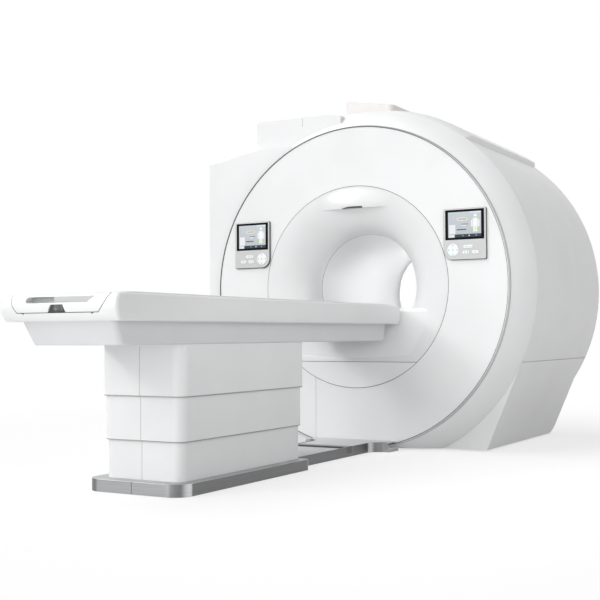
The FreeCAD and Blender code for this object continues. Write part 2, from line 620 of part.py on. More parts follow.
def visor():
    """Brow over the bore: bulges forward and ends in a sharp level lip."""
    lip = FRONT - VISOR_PROUD
    sag = VISOR_PROUD + COVER_WALL
    sweep = (VISOR_HALF_WIDTH ** 2 + sag ** 2) / (2 * sag)
    round_plan = Part.makeCylinder(sweep, WIDE, V(0, lip + sweep, 0))
    top = BORE_HEIGHT + FUNNEL_RADIUS - SEAM
    rise = top - VISOR_LIP_HEIGHT
    profile = outline(at_x(-VISOR_HALF_WIDTH), (lip, VISOR_LIP_HEIGHT),
                      ((lip + VISOR_PROUD * VISOR_SWELL, VISOR_LIP_HEIGHT + rise * VISOR_SWELL_HEIGHT),
                       (FRONT + LAP_GAP, top)),
                      (FRONT + VISOR_BACK, top), (FRONT + VISOR_BACK, VISOR_LIP_HEIGHT))
    brow = profile.extrude(V(2 * VISOR_HALF_WIDTH, 0, 0)).common(round_plan)
    brow = brow.common(flare_void().fuse(rod(FUNNEL_RADIUS - SEAM, lip - PAST, FRONT)))
    return brow.cut(lamp_recess())


def lamp_recess():
    return block(-LAMP_HALF_WIDTH, LAMP_HALF_WIDTH, FRONT - VISOR_PROUD + COVER_WALL,
                 FRONT - VISOR_PROUD + COVER_WALL + LAMP_DEPTH,
                 VISOR_LIP_HEIGHT - PAST, VISOR_LIP_HEIGHT + LAMP_HEIGHT)


def visor_lamp():
    inset = LAP_GAP
    return block(-LAMP_HALF_WIDTH + inset, LAMP_HALF_WIDTH - inset,
                 FRONT - VISOR_PROUD + COVER_WALL + inset,
                 FRONT - VISOR_PROUD + COVER_WALL + LAMP_DEPTH - inset,
                 VISOR_LIP_HEIGHT, VISOR_LIP_HEIGHT + LAMP_HEIGHT - inset)


def front_panel():
    """Flat ring-shaped front panel, recessed a little where the table docks."""
    inner = FUNNEL_RADIUS + SEAM / 2
    outer = RING_RADIUS - RING_WIDTH - LAP_GAP
    panel = above(tube(inner, outer, FRONT, FRONT + COVER_WALL), FLOOR_GAP)
    recess = block(-DOCK_HALF_WIDTH, DOCK_HALF_WIDTH, FRONT - PAST, FRONT + DOCK_RECESS,
                   0, BORE_HEIGHT - BORE_RADIUS)
    for side in (-1, 1):
        hole = panel_outline(side, PANEL_BODY_INSET - LAP_GAP, FRONT - PAST, FRONT + PANEL_BODY_DEPTH)
        panel = panel.cut(hole)
    return panel.cut(recess)


def trim_ring():
    inner = RING_RADIUS - RING_WIDTH
    ring = turned((inner, FRONT - RING_PROUD), (RING_RADIUS, FRONT - RING_PROUD),
                  (RING_RADIUS + RING_SPREAD, FRONT + RING_DEPTH), (inner, FRONT + RING_DEPTH))
    return above(ring, FLOOR_GAP)


def bezel_profile(grow):
    """(radius, y) of the bezel's face: start, middle and end of its arc."""
    r0, y0 = RING_RADIUS + RING_SPREAD + LAP_GAP, FRONT + RING_DEPTH
    r1, y1 = BARREL_RADIUS, CREASE
    length = math.hypot(r1 - r0, y1 - y0)
    out_r, out_y = (y1 - y0) / length, -(r1 - r0) / length
    bulge = BEZEL_BULGE + grow
    middle = ((r0 + r1) / 2 + out_r * bulge, (y0 + y1) / 2 + out_y * bulge)
    return (r0, y0 + out_y * grow), middle, (r1 + out_r * grow, y1 + out_y * grow)


def front_bezel():
    """Sloping cover from the metal ring out to the barrel, with a tongue."""
    start, middle, end = bezel_profile(0)
    _, inner_middle, _ = bezel_profile(-COVER_WALL)
    back = (start[0], start[1] + 2 * COVER_WALL)
    bezel = turned(start, (middle, end), (TONGUE_OUTER, CREASE), (TONGUE_OUTER, CREASE + LAP_LENGTH),
                   (TONGUE_INNER, CREASE + LAP_LENGTH), (TONGUE_INNER, CREASE - COVER_WALL / 2),
                   (inner_middle, back))
    return above(bezel, FLOOR_GAP)


def round_envelope(gap):
    """Everything inside the round covers, grown by a gap."""
    start, middle, end = bezel_profile(gap)
    return turned((0, FRONT - gap), (start[0] + gap, FRONT - gap), (start[0] + gap, start[1]),
                  (middle, (BARREL_RADIUS + gap, CREASE)), (BARREL_RADIUS + gap, REAR + gap), (0, REAR + gap))


def skirt_x(z, outwards=0.0):
    """Side wall of a skirt: a plane tangent to the barrel."""
    lean = math.radians(SKIRT_LEAN)
    return (BARREL_RADIUS + outwards) / math.cos(lean) + (z - BORE_HEIGHT) * math.tan(lean)


def skirt_prism(outwards, y0, y1, z0, z1):
    face = outline(at_y(y0), (0, z0), (skirt_x(z0, outwards), z0), (skirt_x(z1, outwards), z1), (0, z1))
    return face.extrude(V(0, y1 - y0, 0))


def skirt_cover():
    """Right lower side cover: barrel wall above, leaning flat wall below."""
    front = CREASE + SEAM
    rear = SKIRT_REAR
    top = SKIRT_SEAM_HEIGHT - SEAM / 2
    wall = skirt_prism(0, front, rear, FLOOR_GAP, top)
    side = outline(at_x(0), (front, FLOOR_GAP), (rear - SKIRT_REAR_CORNER, FLOOR_GAP),
                   ((rear - SKIRT_REAR_CORNER * ARC_MIDDLE,
                     FLOOR_GAP + SKIRT_REAR_CORNER * ARC_MIDDLE),
                    (rear, FLOOR_GAP + SKIRT_REAR_CORNER)), (rear, top), (front, top))
    wall = wall.common(side.extrude(V(WIDE, 0, 0)))
    outer = wall.fuse(rod(BARREL_RADIUS, front, REAR_CREASE))
    inner = skirt_prism(-COVER_WALL, front + COVER_WALL, rear - COVER_WALL, -FLOOR_GAP, WIDE / 4)
    inner = inner.fuse(rod(BARREL_RADIUS - COVER_WALL, front - PAST, REAR_CREASE + PAST))
    cover = right_of(below(above(outer.cut(inner), FLOOR_GAP), top), 0)
    lap_foot = top - LAP_LENGTH
    root = tube(TONGUE_INNER, BARREL_RADIUS - COVER_WALL / 2, CREASE + LAP_LENGTH + SEAM,
                REAR_CREASE - LAP_LENGTH - SEAM)
    root = right_of(below(above(root, lap_foot), top), 0)
    tongue = tube(TONGUE_INNER, TONGUE_OUTER, CREASE + LAP_LENGTH + SEAM, REAR_CREASE - LAP_LENGTH - SEAM)
    tongue = right_of(below(above(tongue, lap_foot), top + LAP_LENGTH), 0)
    return cover.fuse([root, tongue])


def barrel_cover():
    """Right barrel cover, from the skirt's seam to under the roof cover."""
    ring = tube(BARREL_RADIUS - COVER_WALL, BARREL_RADIUS, CREASE + SEAM, REAR_CREASE)
    ring = right_of(above(ring, SKIRT_SEAM_HEIGHT + SEAM / 2), 0)
    return ring.cut(block(-WIDE, SADDLE_HALF_WIDTH - BARREL_UNDERLAP, -WIDE, WIDE, BORE_HEIGHT, WIDE))


def roof_cover():
    """Shallow cap over the top of the barrel, standing on its four lips."""
    half = SADDLE_HALF_WIDTH
    cap = tube(BARREL_RADIUS, SADDLE_RADIUS, SADDLE_FRONT, SADDLE_REAR)
    cap = cap.common(block(-half, half, -WIDE, WIDE, BORE_HEIGHT, WIDE))
    room = tube(BARREL_RADIUS - PAST, SADDLE_RADIUS - COVER_WALL, SADDLE_FRONT + COVER_WALL,
                SADDLE_REAR - COVER_WALL)
    room = room.common(block(COVER_WALL - half, half - COVER_WALL, -WIDE, WIDE, BORE_HEIGHT, WIDE))
    hole = Part.makeCylinder(NECK_FLANGE_RADIUS + COVER_WALL, WIDE,
                             V(COLD_HEAD_X, COLD_HEAD_Y, BORE_HEIGHT))
    return cap.cut(room).cut(hole)


def roof_envelope():
    """The roof cover's outside, grown by the gap its neighbours keep."""
    half = SADDLE_HALF_WIDTH + LAP_GAP
    roof = tube(VESSEL_RADIUS, SADDLE_RADIUS + LAP_GAP, SADDLE_FRONT - LAP_GAP, REAR)
    return roof.common(block(-half, half, -WIDE, WIDE, BORE_HEIGHT, WIDE))


def roof_box_shape(inset):
    half = ROOF_BOX_HALF_WIDTH - inset
    x0, x1 = COLD_HEAD_X - half, COLD_HEAD_X + half
    y0 = COLD_HEAD_Y - ROOF_BOX_DEPTH / 2 + inset
    y1 = COLD_HEAD_Y + ROOF_BOX_DEPTH / 2 - inset
    r = ROOF_BOX_CORNER - inset
    top = rounded(x0, x1, y0, y1, BORE_HEIGHT, ROOF_BOX_HIGH, r, r)
    slope = outline(at_y(-WIDE), (x0 - inset - PAST, BORE_HEIGHT), (x1 + inset + PAST, BORE_HEIGHT),
                    (x1 + inset + PAST, ROOF_BOX_LOW - inset), (x0 - inset - PAST, ROOF_BOX_HIGH - inset))
    return top.common(slope.extrude(V(0, 2 * WIDE, 0)))


def roof_box():
    """Cover of the cold head, with a sloping top."""
    box = roof_box_shape(0).cut(roof_box_shape(COVER_WALL))
    return box.cut(rod(SADDLE_RADIUS, -WIDE, WIDE))


def cheek_face(inset, y):
    outer = CHEEK_OUTER - inset
    bottom = FLOOR_GAP - (2 * inset)
    shoulder = CHEEK_SHOULDER_HEIGHT - inset
    top = CHEEK_TOP_HEIGHT - inset
    r = CHEEK_CORNER
    bend = r * ARC_MIDDLE
    return outline(at_y(y), (-outer, bottom), (-outer, shoulder - r),
                   ((-outer + bend, shoulder - bend), (-outer + r, shoulder)),
                   (-CHEEK_SHOULDER_END, shoulder), (-CHEEK_TOP_START, top), (0, top), (0, bottom))


def cheek_cover():
    """Square-shouldered cover at the left front, round the cable chase."""
    y0 = FRONT + CHEEK_SETBACK
    y1 = y0 + CHEEK_DEPTH
    outer = cheek_face(0, y0).extrude(V(0, CHEEK_DEPTH, 0))
    inner = cheek_face(COVER_WALL, y0 + COVER_WALL).extrude(V(0, CHEEK_DEPTH - 2 * COVER_WALL, 0))
    wedge = Part.Face(Part.makePolygon([V(-CHEEK_SHOULDER_END, y0, CHEEK_SHOULDER_HEIGHT),
                                        V(-CHEEK_OUTER - PAST, y0, CHEEK_SHOULDER_HEIGHT - CHEEK_BEVEL),
                                        V(-CHEEK_OUTER - PAST, y0 + CHEEK_BEVEL,
                                          CHEEK_SHOULDER_HEIGHT + PAST),
                                        V(-CHEEK_SHOULDER_END, y0, CHEEK_SHOULDER_HEIGHT)]))
    wedge = wedge.extrude(V(0, -2 * CHEEK_BEVEL, 2 * CHEEK_BEVEL))
    skirt = mirrored(skirt_prism(LAP_GAP, CREASE, y1 + PAST, -PAST, BORE_HEIGHT))
    cheek = outer.cut(wedge).cut(inner)
    return cheek.cut(round_envelope(LAP_GAP)).cut([skirt, roof_envelope()])


def turret_face(inset, y):
    outer, top = TURRET_OUTER - inset, TURRET_TOP - inset
    r = TURRET_CORNER
    bend = r * ARC_MIDDLE
    foot = CHEEK_TOP_HEIGHT + SEAM + inset
    return outline(at_y(y), (-TURRET_INNER_FOOT, foot), (-CHEEK_TOP_START - inset, foot),
                   (-outer, TURRET_BOTTOM), (-outer, top - r),
                   ((-outer + bend, top - bend), (-outer + r, top)),
                   (-TURRET_INNER, top), (-TURRET_INNER_FOOT, BARREL_TOP - SADDLE_RISE))


def turret_cover():
    """Box-shaped cover over the left shoulder, for the service conduits."""
    y0 = FRONT + TURRET_SETBACK
    outer = turret_face(0, y0).extrude(V(0, TURRET_DEPTH, 0))
    inner = turret_face(COVER_WALL, y0 + COVER_WALL).extrude(V(0, TURRET_DEPTH - 2 * COVER_WALL, 0))
    return outer.cut(inner).cut(round_envelope(LAP_GAP)).cut(roof_envelope())


def rounded_slot(x, z, half_length, height, y0, y1):
    """A level slot with round ends, to cut with."""
    straight = half_length - height / 2
    slot = block(x - straight, x + straight, y0, y1, z - height / 2, z + height / 2)
    ends = [Part.makeCylinder(height / 2, y1 - y0, V(x + side * straight, y0, z), V(0, 1, 0))
            for side in (-1, 1)]
    return slot.fuse(ends).removeSplitter()


def rear_cover():
    """Rear panel, bevel and flare, moulded in one."""
    r1, y1 = REAR_PANEL_RADIUS, REAR
    mouth = REAR_FUNNEL_RADIUS
    bend = (mouth - BORE_RADIUS) * ARC_MIDDLE
    deep = FUNNEL_DEPTH * ARC_MIDDLE
    w = COVER_WALL
    cover = turned((BARREL_RADIUS, REAR_CREASE + SEAM), (r1, y1), (mouth, y1),
                   ((BORE_RADIUS + bend, y1 - deep), (BORE_RADIUS, LINER_REAR)),
                   (BORE_RADIUS + w, LINER_REAR),
                   ((BORE_RADIUS + bend + w, y1 - deep - w), (mouth + w, y1 - w)),
                   (r1 - w, y1 - w), (TONGUE_INNER, REAR_CREASE + SEAM),
                   (TONGUE_INNER, REAR_CREASE - LAP_LENGTH), (TONGUE_OUTER, REAR_CREASE - LAP_LENGTH),
                   (TONGUE_OUTER, REAR_CREASE + SEAM))
    door = mouth + REAR_DOOR_WIDTH
    groove = tube(door - SEAM / 2, door + SEAM / 2, y1 - GROOVE_DEPTH, y1 + PAST)
    reach = block(-SEAM / 2, SEAM / 2, y1 - GROOVE_DEPTH, y1 + PAST, 0, BORE_HEIGHT - door)
    slots = []
    for n in range(LOUVRES):
        z = BORE_HEIGHT - LOUVRE_TOP_DROP - n * LOUVRE_PITCH
        slot = rounded_slot(LOUVRE_X, z, LOUVRE_HALF_LENGTH, LOUVRE_HEIGHT, y1 - w - PAST, y1 + PAST)
        slots += [slot, mirrored(slot)]
    return above(cover, FLOOR_GAP).cut([groove, reach]).cut(slots)


# ---- control panels ----------------------------------------------------------
def panel_outline(side, inset, y0, y1):
    """Panel outline: three small corners and one large one nearest the bore."""
    near, far = PANEL_X - PANEL_WIDTH / 2 + inset, PANEL_X + PANEL_WIDTH / 2 - inset
    low, high = PANEL_BOTTOM + inset, PANEL_BOTTOM + PANEL_HEIGHT - inset
    body = block(near, far, y0, y1, low, high)
    along = [e for e in body.Edges if abs(e.Vertexes[0].Y - e.Vertexes[1].Y) > NEAR]
    big = [e for e in along if abs(e.Vertexes[0].X - near) < NEAR and abs(e.Vertexes[0].Z - low) < NEAR]
    small = [e for e in along if not any(e.isSame(b) for b in big)]
    body = body.makeFillet(PANEL_CORNER, small)
    big = [e for e in body.Edges if abs(e.Vertexes[0].X - near) < NEAR and abs(e.Vertexes[-1].X - near) < NEAR
           and abs(e.Vertexes[0].Z - low) < NEAR and abs(e.Vertexes[-1].Z - low) < NEAR]
    body = body.makeFillet(PANEL_ROUND - inset, big)
    return body if side > 0 else mirrored(body)


PAD_X = PANEL_X - PANEL_WIDTH / 2 + PANEL_ROUND
PAD_Z = PANEL_BOTTOM + PANEL_ROUND
# name: centre x, centre z, width, height
KEYS = {
    "upper_key": (PAD_X + UPPER_KEY_X, PAD_Z + UPPER_ROW, UPPER_KEY_WIDTH, KEY_HEIGHT),
    "near_key": (PAD_X + NEAR_KEY_X, PAD_Z + LOWER_ROW, KEY_WIDTH, KEY_HEIGHT),
    "far_key": (PAD_X + FAR_KEY_X, PAD_Z + LOWER_ROW, KEY_WIDTH, KEY_HEIGHT),
}
PANEL_FACE = FRONT - PANEL_PROUD


def key_block(name, gap, y0, y1):
    x, z, width, height = KEYS[name]
    body = block(x - width / 2 - gap, x + width / 2 + gap, y0, y1, z - height / 2 - gap, z + height / 2 + gap)
    along = [e for e in body.Edges if abs(e.Vertexes[0].Y - e.Vertexes[1].Y) > NEAR]
    return body.makeFillet(KEY_CORNER, along)


def pad_disc(gap, y0, y1):
    return Part.makeCylinder(PAD_RADIUS + gap, y1 - y0, V(PAD_X, y0, PAD_Z), V(0, 1, 0))


def screen_block(gap, y0, y1):
    x0, x1 = PANEL_X - SCREEN_WIDTH / 2, PANEL_X + SCREEN_WIDTH / 2
    high = PANEL_BOTTOM + PANEL_HEIGHT - SCREEN_TOP_MARGIN
    return block(x0 - gap, x1 + gap, y0, y1, high - SCREEN_HEIGHT - gap, high + gap)


def panel_housing():
    """Panel housing: flange on the front panel, body behind, pockets for keys."""
    flange = panel_outline(1, 0, PANEL_FACE, FRONT)
    body = panel_outline(1, PANEL_BODY_INSET, PANEL_FACE + PAST, FRONT + PANEL_BODY_DEPTH)
    housing = flange.fuse(body)
    pocket = PANEL_FACE + KEY_DEPTH + KEY_TRAVEL + KEY_GAP
    cuts = [key_block(name, KEY_GAP, PANEL_FACE - PAST, pocket) for name in KEYS]
    cuts.append(pad_disc(KEY_GAP, PANEL_FACE - PAST, pocket))
    cuts.append(screen_block(LAP_GAP, PANEL_FACE - PAST, PANEL_FACE + SCREEN_THICKNESS))
    return housing.cut(cuts)


def screen():
    return screen_block(0, PANEL_FACE, PANEL_FACE + SCREEN_THICKNESS - LAP_GAP)


def key(name):
    return key_block(name, 0, PANEL_FACE - KEY_PROUD, PANEL_FACE + KEY_DEPTH)


def direction_pad():
    disc = pad_disc(0, PANEL_FACE - KEY_PROUD, PANEL_FACE + KEY_DEPTH)
    face = [e for e in disc.Edges if abs(e.BoundBox.YMax - (PANEL_FACE - KEY_PROUD)) < NEAR
            and abs(e.BoundBox.YMin - (PANEL_FACE - KEY_PROUD)) < NEAR]
    return disc.makeFillet(KEY_PROUD / 2, face)


# ---- in-bore bridge ----------------------------------------------------------
def bore_bridge():
    """Rail bridge that carries the table top through the bore."""
    z0 = BRIDGE_TOP - BRIDGE_THICKNESS
    y0, y1 = FRONT + SILL_DEPTH + SILL_ROLL + LAP_GAP, LINER_REAR
    deck = block(-BRIDGE_HALF_WIDTH, BRIDGE_HALF_WIDTH, y0, y1, z0, BRIDGE_TOP)
    legs = []
    for side in (-1, 1):
        x = side * BRIDGE_LEG_X
        leg = block(x - BRIDGE_LEG_WIDTH / 2, x + BRIDGE_LEG_WIDTH / 2, LINER_FRONT + COVER_WALL, y1,
                    BORE_HEIGHT - BORE_RADIUS, z0)
        legs.append(leg.common(rod(BORE_RADIUS, -WIDE, WIDE)))
    return deck.fuse(legs).removeSplitter()


# ---- patient table: rim, cap, top --------------------------------------------
def rim_blank():
    """The table's upper body before its cap, slot and channel are cut."""
    foot = RIM_FOOT - RIM_FOOT_BULGE
    side = RIM_HALF_WIDTH + RIM_SIDE_BULGE
    middle = (RIM_BOTTOM + RIM_TOP) / 2
    section = outline(at_y(foot - PAST), (-RIM_HALF_WIDTH, RIM_BOTTOM), (RIM_HALF_WIDTH, RIM_BOTTOM),
                      ((side, middle), (RIM_HALF_WIDTH, RIM_TOP)), (-RIM_HALF_WIDTH, RIM_TOP),
                      ((-side, middle), (-RIM_HALF_WIDTH, RIM_BOTTOM)))
    profile = outline(at_x(-WIDE), (RIM_END, RIM_BOTTOM), (RIM_END, RIM_TOP), (RIM_FOOT, RIM_TOP),
                      ((foot, middle), (RIM_FOOT, RIM_BOTTOM)))
    blank = section.extrude(V(0, RIM_END - foot + PAST, 0)).common(profile.extrude(V(2 * WIDE, 0, 0)))
    boxes = [(e, e.optimalBoundingBox()) for e in blank.Edges]
    upright = [e for e, b in boxes if b.ZLength > RIM_HEIGHT / 2 and b.YMax < RIM_FOOT + PAST]
    blank = blank.makeFillet(RIM_END_ROUND, upright)
    boxes = [(e, e.optimalBoundingBox()) for e in blank.Edges]
    level = [e for e, b in boxes if b.ZLength < PAST and b.YMin < RIM_END - PAST]
    return blank.makeFillet(RIM_CORNER, level)


def cap_block(gap):
    top = RIM_TOP + PAST
    face = outline(at_y(RIM_FOOT - 2 * RIM_FOOT_BULGE), (-CAP_BOTTOM_HALF - gap, CAP_BOTTOM - gap),
                   (CAP_BOTTOM_HALF + gap, CAP_BOTTOM - gap),
                   ((CAP_MIDDLE_HALF + gap, CAP_BOTTOM + CAP_MIDDLE_RISE), (CAP_TOP_HALF + gap, top)),
                   (-CAP_TOP_HALF - gap, top),
                   ((-CAP_MIDDLE_HALF - gap, CAP_BOTTOM + CAP_MIDDLE_RISE),
                    (-CAP_BOTTOM_HALF - gap, CAP_BOTTOM - gap)))
    return face.extrude(V(0, CAP_DEPTH + 2 * RIM_FOOT_BULGE + gap, 0))


def latch_block(gap, y0, y1):
    face = outline(at_y(y0), (-LATCH_BOTTOM_HALF - gap, CAP_BOTTOM - gap),
                   (LATCH_BOTTOM_HALF + gap, CAP_BOTTOM - gap), (LATCH_TOP_HALF + gap, LATCH_TOP + gap),
                   (-LATCH_TOP_HALF - gap, LATCH_TOP + gap))
    return face.extrude(V(0, y1 - y0, 0))


LATCH_FACE = RIM_FOOT - RIM_FOOT_BULGE + LATCH_INSET


def foot_cap():
    """End cap with the pull grip and the latch's window."""
    r = (GRIP_TOP - GRIP_BOTTOM) / 2
    middle = (GRIP_TOP + GRIP_BOTTOM) / 2
    y0 = RIM_FOOT - 2 * RIM_FOOT_BULGE
    deep = outline(at_y(y0), (GRIP_DIVIDE, GRIP_BOTTOM), (GRIP_DIVIDE, GRIP_TOP), (GRIP_LEFT + r, GRIP_TOP),
                   ((GRIP_LEFT, middle), (GRIP_LEFT + r, GRIP_BOTTOM)))
    deep = deep.extrude(V(0, RIM_FOOT_BULGE + GRIP_DEPTH, 0))
    shallow = outline(at_y(y0), (GRIP_DIVIDE, GRIP_BOTTOM), (GRIP_RIGHT - GRIP_SLANT, GRIP_BOTTOM),
                      (GRIP_RIGHT, GRIP_TOP), (GRIP_DIVIDE, GRIP_TOP))
    shallow = shallow.extrude(V(0, RIM_FOOT_BULGE + GRIP_SHALLOW, 0))
    window = latch_block(CAP_GAP, y0, LATCH_FACE + LATCH_DEPTH + LATCH_TRAVEL + CAP_GAP)
    return rim_blank().common(cap_block(0)).cut([deep, shallow, window])


def latch_button():
    return latch_block(0, LATCH_FACE, LATCH_FACE + LATCH_DEPTH)


def table_rim():
    """Table body: running surface for the top, drive channel, slot for its fin."""
    rim = rim_blank().cut(cap_block(CAP_GAP))
    half = TOP_HALF_WIDTH + TOP_SIDE_GAP
    y0 = TOP_FOOT - TOP_SIDE_GAP
    bed = rounded(-half, half, y0, RIM_END + PAST, RUNNING_SURFACE, RIM_TOP + PAST,
                  TOP_CORNER + TOP_SIDE_GAP, 0)
    channel = block(-CHANNEL_HALF_WIDTH, CHANNEL_HALF_WIDTH, CHANNEL_FOOT, CHANNEL_END,
                    CHANNEL_BOTTOM, CHANNEL_TOP)
    slot = block(-SLOT_HALF_WIDTH, SLOT_HALF_WIDTH, CHANNEL_FOOT, CHANNEL_END, CHANNEL_TOP - PAST,
                 RIM_TOP + PAST)
    seam = CAP_BOTTOM - CAP_GAP
    rim = rim.cut([bed, channel, slot])
    for x in (-CLIP_X, CLIP_X):
        clip = outline(at_y(RIM_FOOT - 2 * RIM_FOOT_BULGE), (x - CLIP_HALF_WIDTH, seam),
                       (x, seam - CLIP_DEPTH), (x + CLIP_HALF_WIDTH, seam))
        rim = rim.cut(clip.extrude(V(0, 2 * RIM_FOOT_BULGE, 0)))
    return rim


def table_top():
    """Sliding top with a dished face, and the fin that the belt pulls."""
    half = TOP_HALF_WIDTH
    flat = half - TOP_FLAT_EDGE
    section = outline(at_y(TOP_FOOT), (-half, TOP_UNDERSIDE), (half, TOP_UNDERSIDE),
                      (half, TOP_EDGE_HEIGHT), (flat, TOP_EDGE_HEIGHT),
                      ((0, TOP_EDGE_HEIGHT - TOP_DISH), (-flat, TOP_EDGE_HEIGHT)),
                      (-half, TOP_EDGE_HEIGHT))
    top = section.extrude(V(0, TOP_LENGTH, 0))
    top = top.common(rounded(-half, half, TOP_FOOT, TOP_END, 0, WIDE / 2, TOP_CORNER, TOP_CORNER))
    belt_top = PULLEY_HEIGHT + PULLEY_RADIUS + BELT_GAP + BELT_THICKNESS
    y = TOP_FOOT + FIN_INSET
    fin = block(-FIN_HALF_THICKNESS, FIN_HALF_THICKNESS, y, y + FIN_LENGTH, belt_top + BELT_GAP,
                TOP_UNDERSIDE + PAST)
    return top.fuse(fin)


def pulley(y):
    wheel = Part.makeCylinder(PULLEY_RADIUS, PULLEY_WIDTH, V(-PULLEY_WIDTH / 2, y, PULLEY_HEIGHT), V(1, 0, 0))
    reach = CHANNEL_HALF_WIDTH - BELT_GAP
    axle = Part.makeCylinder(PULLEY_AXLE, 2 * reach, V(-reach, y, PULLEY_HEIGHT), V(1, 0, 0))
    hub = Part.makeCylinder(2 * PULLEY_AXLE, BELT_THICKNESS, V(PULLEY_WIDTH / 2, y, PULLEY_HEIGHT),
                            V(1, 0, 0))
    return wheel.fuse([axle, hub])


PULLEY_FOOT_Y = CHANNEL_FOOT + PULLEY_INSET
PULLEY_END_Y = CHANNEL_END - PULLEY_INSET


def belt_loop(radius):
    y0, y1 = PULLEY_FOOT_Y, PULLEY_END_Y
    face = outline(at_x(-BELT_WIDTH / 2), (y0, PULLEY_HEIGHT + radius), (y1, PULLEY_HEIGHT + radius),
                   ((y1 + radius, PULLEY_HEIGHT), (y1, PULLEY_HEIGHT - radius)),
                   (y0, PULLEY_HEIGHT - radius), ((y0 - radius, PULLEY_HEIGHT), (y0, PULLEY_HEIGHT + radius)))
    return face.extrude(V(BELT_WIDTH, 0, 0))


def drive_belt():
    inner = PULLEY_RADIUS + BELT_GAP
    return belt_loop(inner + BELT_THICKNESS).cut(belt_loop(inner))


# ---- table tray, frame, lift -------------------------------------------------
def tray_plan(z, half, foot, end):
    r = TRAY_CORNER
    bend = r * ARC_MIDDLE
    return outline(at_z(z), (-half, end), (-half, foot + r), ((-half + bend, foot + bend), (-half + r, foot)),
                   (half - r, foot), ((half - bend, foot + bend), (half, foot + r)), (half, end)).OuterWire


def tray_body(inset, z0, z1):
    half, foot, end = TRAY_TOP_HALF - inset, TRAY_FOOT + inset, TRAY_END - inset
    low = tray_plan(z0, half - TRAY_DRAFT, foot + TRAY_FOOT_RAKE, end)
    return Part.makeLoft([low, tray_plan(z1, half, foot, end)], True, True)


def tray_cover():
    """Drafted tray under the rim, open above, with a rounded bottom edge."""
    outer = tray_body(0, TRAY_BOTTOM, RIM_BOTTOM)
    low = [e for e in outer.Edges if e.BoundBox.ZMax < TRAY_BOTTOM + PAST
           and e.BoundBox.YMin < TRAY_END - PAST]
    outer = outer.makeFillet(TRAY_EDGE, low)
    return outer.cut(tray_body(TRAY_WALL, TRAY_BOTTOM + TRAY_WALL, RIM_BOTTOM + TRAY_WALL))


def table_frame():
    """Two long beams and cross-bars between the tray's floor and the rim."""
    y0, y1 = TRAY_FOOT + TRAY_FOOT_RAKE + FRAME_MARGIN, TRAY_END - FRAME_MARGIN
    z0, z1 = TRAY_BOTTOM + TRAY_WALL, RIM_BOTTOM
    half = FRAME_BEAM_WIDTH / 2
    beams = [block(s * FRAME_BEAM_X - half, s * FRAME_BEAM_X + half, y0, y1, z0, z1) for s in (-1, 1)]
    step = (y1 - y0 - 2 * half) / (FRAME_CROSSBARS - 1)
    bars = [block(-FRAME_BEAM_X, FRAME_BEAM_X, y0 + n * step, y0 + n * step + 2 * half, z0, z1 - half)
            for n in range(FRAME_CROSSBARS)]
    return beams[0].fuse(beams[1:] + bars).removeSplitter()


def shell(level, z0, z1):
    """Right half of one telescoping shell. Level 0 is the upper, widest one."""
    inset = level * SHELL_STEP
    half, foot, end = SHELL_HALF_WIDTH - inset, SHELL_FOOT + inset, SHELL_END - inset
    r = SHELL_CORNER - inset / 2
    outer = rounded(-half, half, foot, end, z0, z1, r, r * SHELL_END_SHARE)
    w = SHELL_WALL
    inner = rounded(-half + w, half - w, foot + w, end - w, z0 - PAST, z1 + PAST, r - w,
                    r * SHELL_END_SHARE - w)
    return right_of(outer.cut(inner), SHELL_SEAM / 2)


def square_tube(size, y, z0, z1):
    half, hole = size / 2, size / 2 - COLUMN_WALL
    return block(-half, half, y - half, y + half, z0, z1).cut(
        block(-hole, hole, y - hole, y + hole, z0 - PAST, z1 + PAST))


MIDDLE_SIZE = COLUMN_SIZE - 2 * COLUMN_WALL - 2 * COLUMN_GAP
INNER_SIZE = MIDDLE_SIZE - 2 * COLUMN_WALL - 2 * COLUMN_GAP


def column_fixed():
    return Part.makeCompound([square_tube(COLUMN_SIZE, y, BASE_PLATE, COLUMN_FIXED_TOP) for y in COLUMN_YS])


def column_middle():
    """Middle stage of both columns, with the plate that carries its shell."""
    inset = SHELL_STEP + SHELL_WALL + LAP_GAP
    half = SHELL_HALF_WIDTH - inset
    z0, z1 = CARRIER_TOP - CARRIER_THICKNESS, CARRIER_TOP
    r = SHELL_CORNER - SHELL_STEP / 2
    plate = rounded(-half, half, SHELL_FOOT + inset, SHELL_END - inset, z0, z1, r - SHELL_WALL,
                    r * SHELL_END_SHARE - SHELL_WALL)
    mouth = MIDDLE_SIZE / 2 - COLUMN_WALL
    for y in COLUMN_YS:
        plate = plate.cut(block(-mouth, mouth, y - mouth, y + mouth, z0 - PAST, z1 + PAST))
    tubes = [square_tube(MIDDLE_SIZE, y, COLUMN_MIDDLE_BOTTOM, COLUMN_MIDDLE_TOP) for y in COLUMN_YS]
    return plate.fuse(tubes)


def column_inner():
    tubes = [square_tube(INNER_SIZE, y, COLUMN_INNER_BOTTOM, TRAY_BOTTOM) for y in COLUMN_YS]
    return Part.makeCompound(tubes)


# ---- base and floor plinth ---------------------------------------------------
def base_shape(inset, z0, z1):
    half, foot, end = BASE_HALF_WIDTH - inset, BASE_FOOT + inset, BASE_END - inset
    return rounded(-half, half, foot, end, z0, z1, BASE_CORNER - inset, BASE_END_CORNER - inset)


def base_trim():
    """Right half of the brushed metal trim, with the ledge round the shell."""
    trim = base_shape(0, 0, BASE_HEIGHT).cut(base_shape(BASE_TRIM_WALL, -PAST, BASE_HEIGHT - BASE_LEDGE))
    inset = 2 * SHELL_STEP - LAP_GAP
    half = SHELL_HALF_WIDTH - inset
    r = SHELL_CORNER - SHELL_STEP
    opening = rounded(-half, half, SHELL_FOOT + inset, SHELL_END - inset, 0, WIDE / 4, r, r * SHELL_END_SHARE)
    return right_of(trim.cut(opening), SHELL_SEAM / 2)


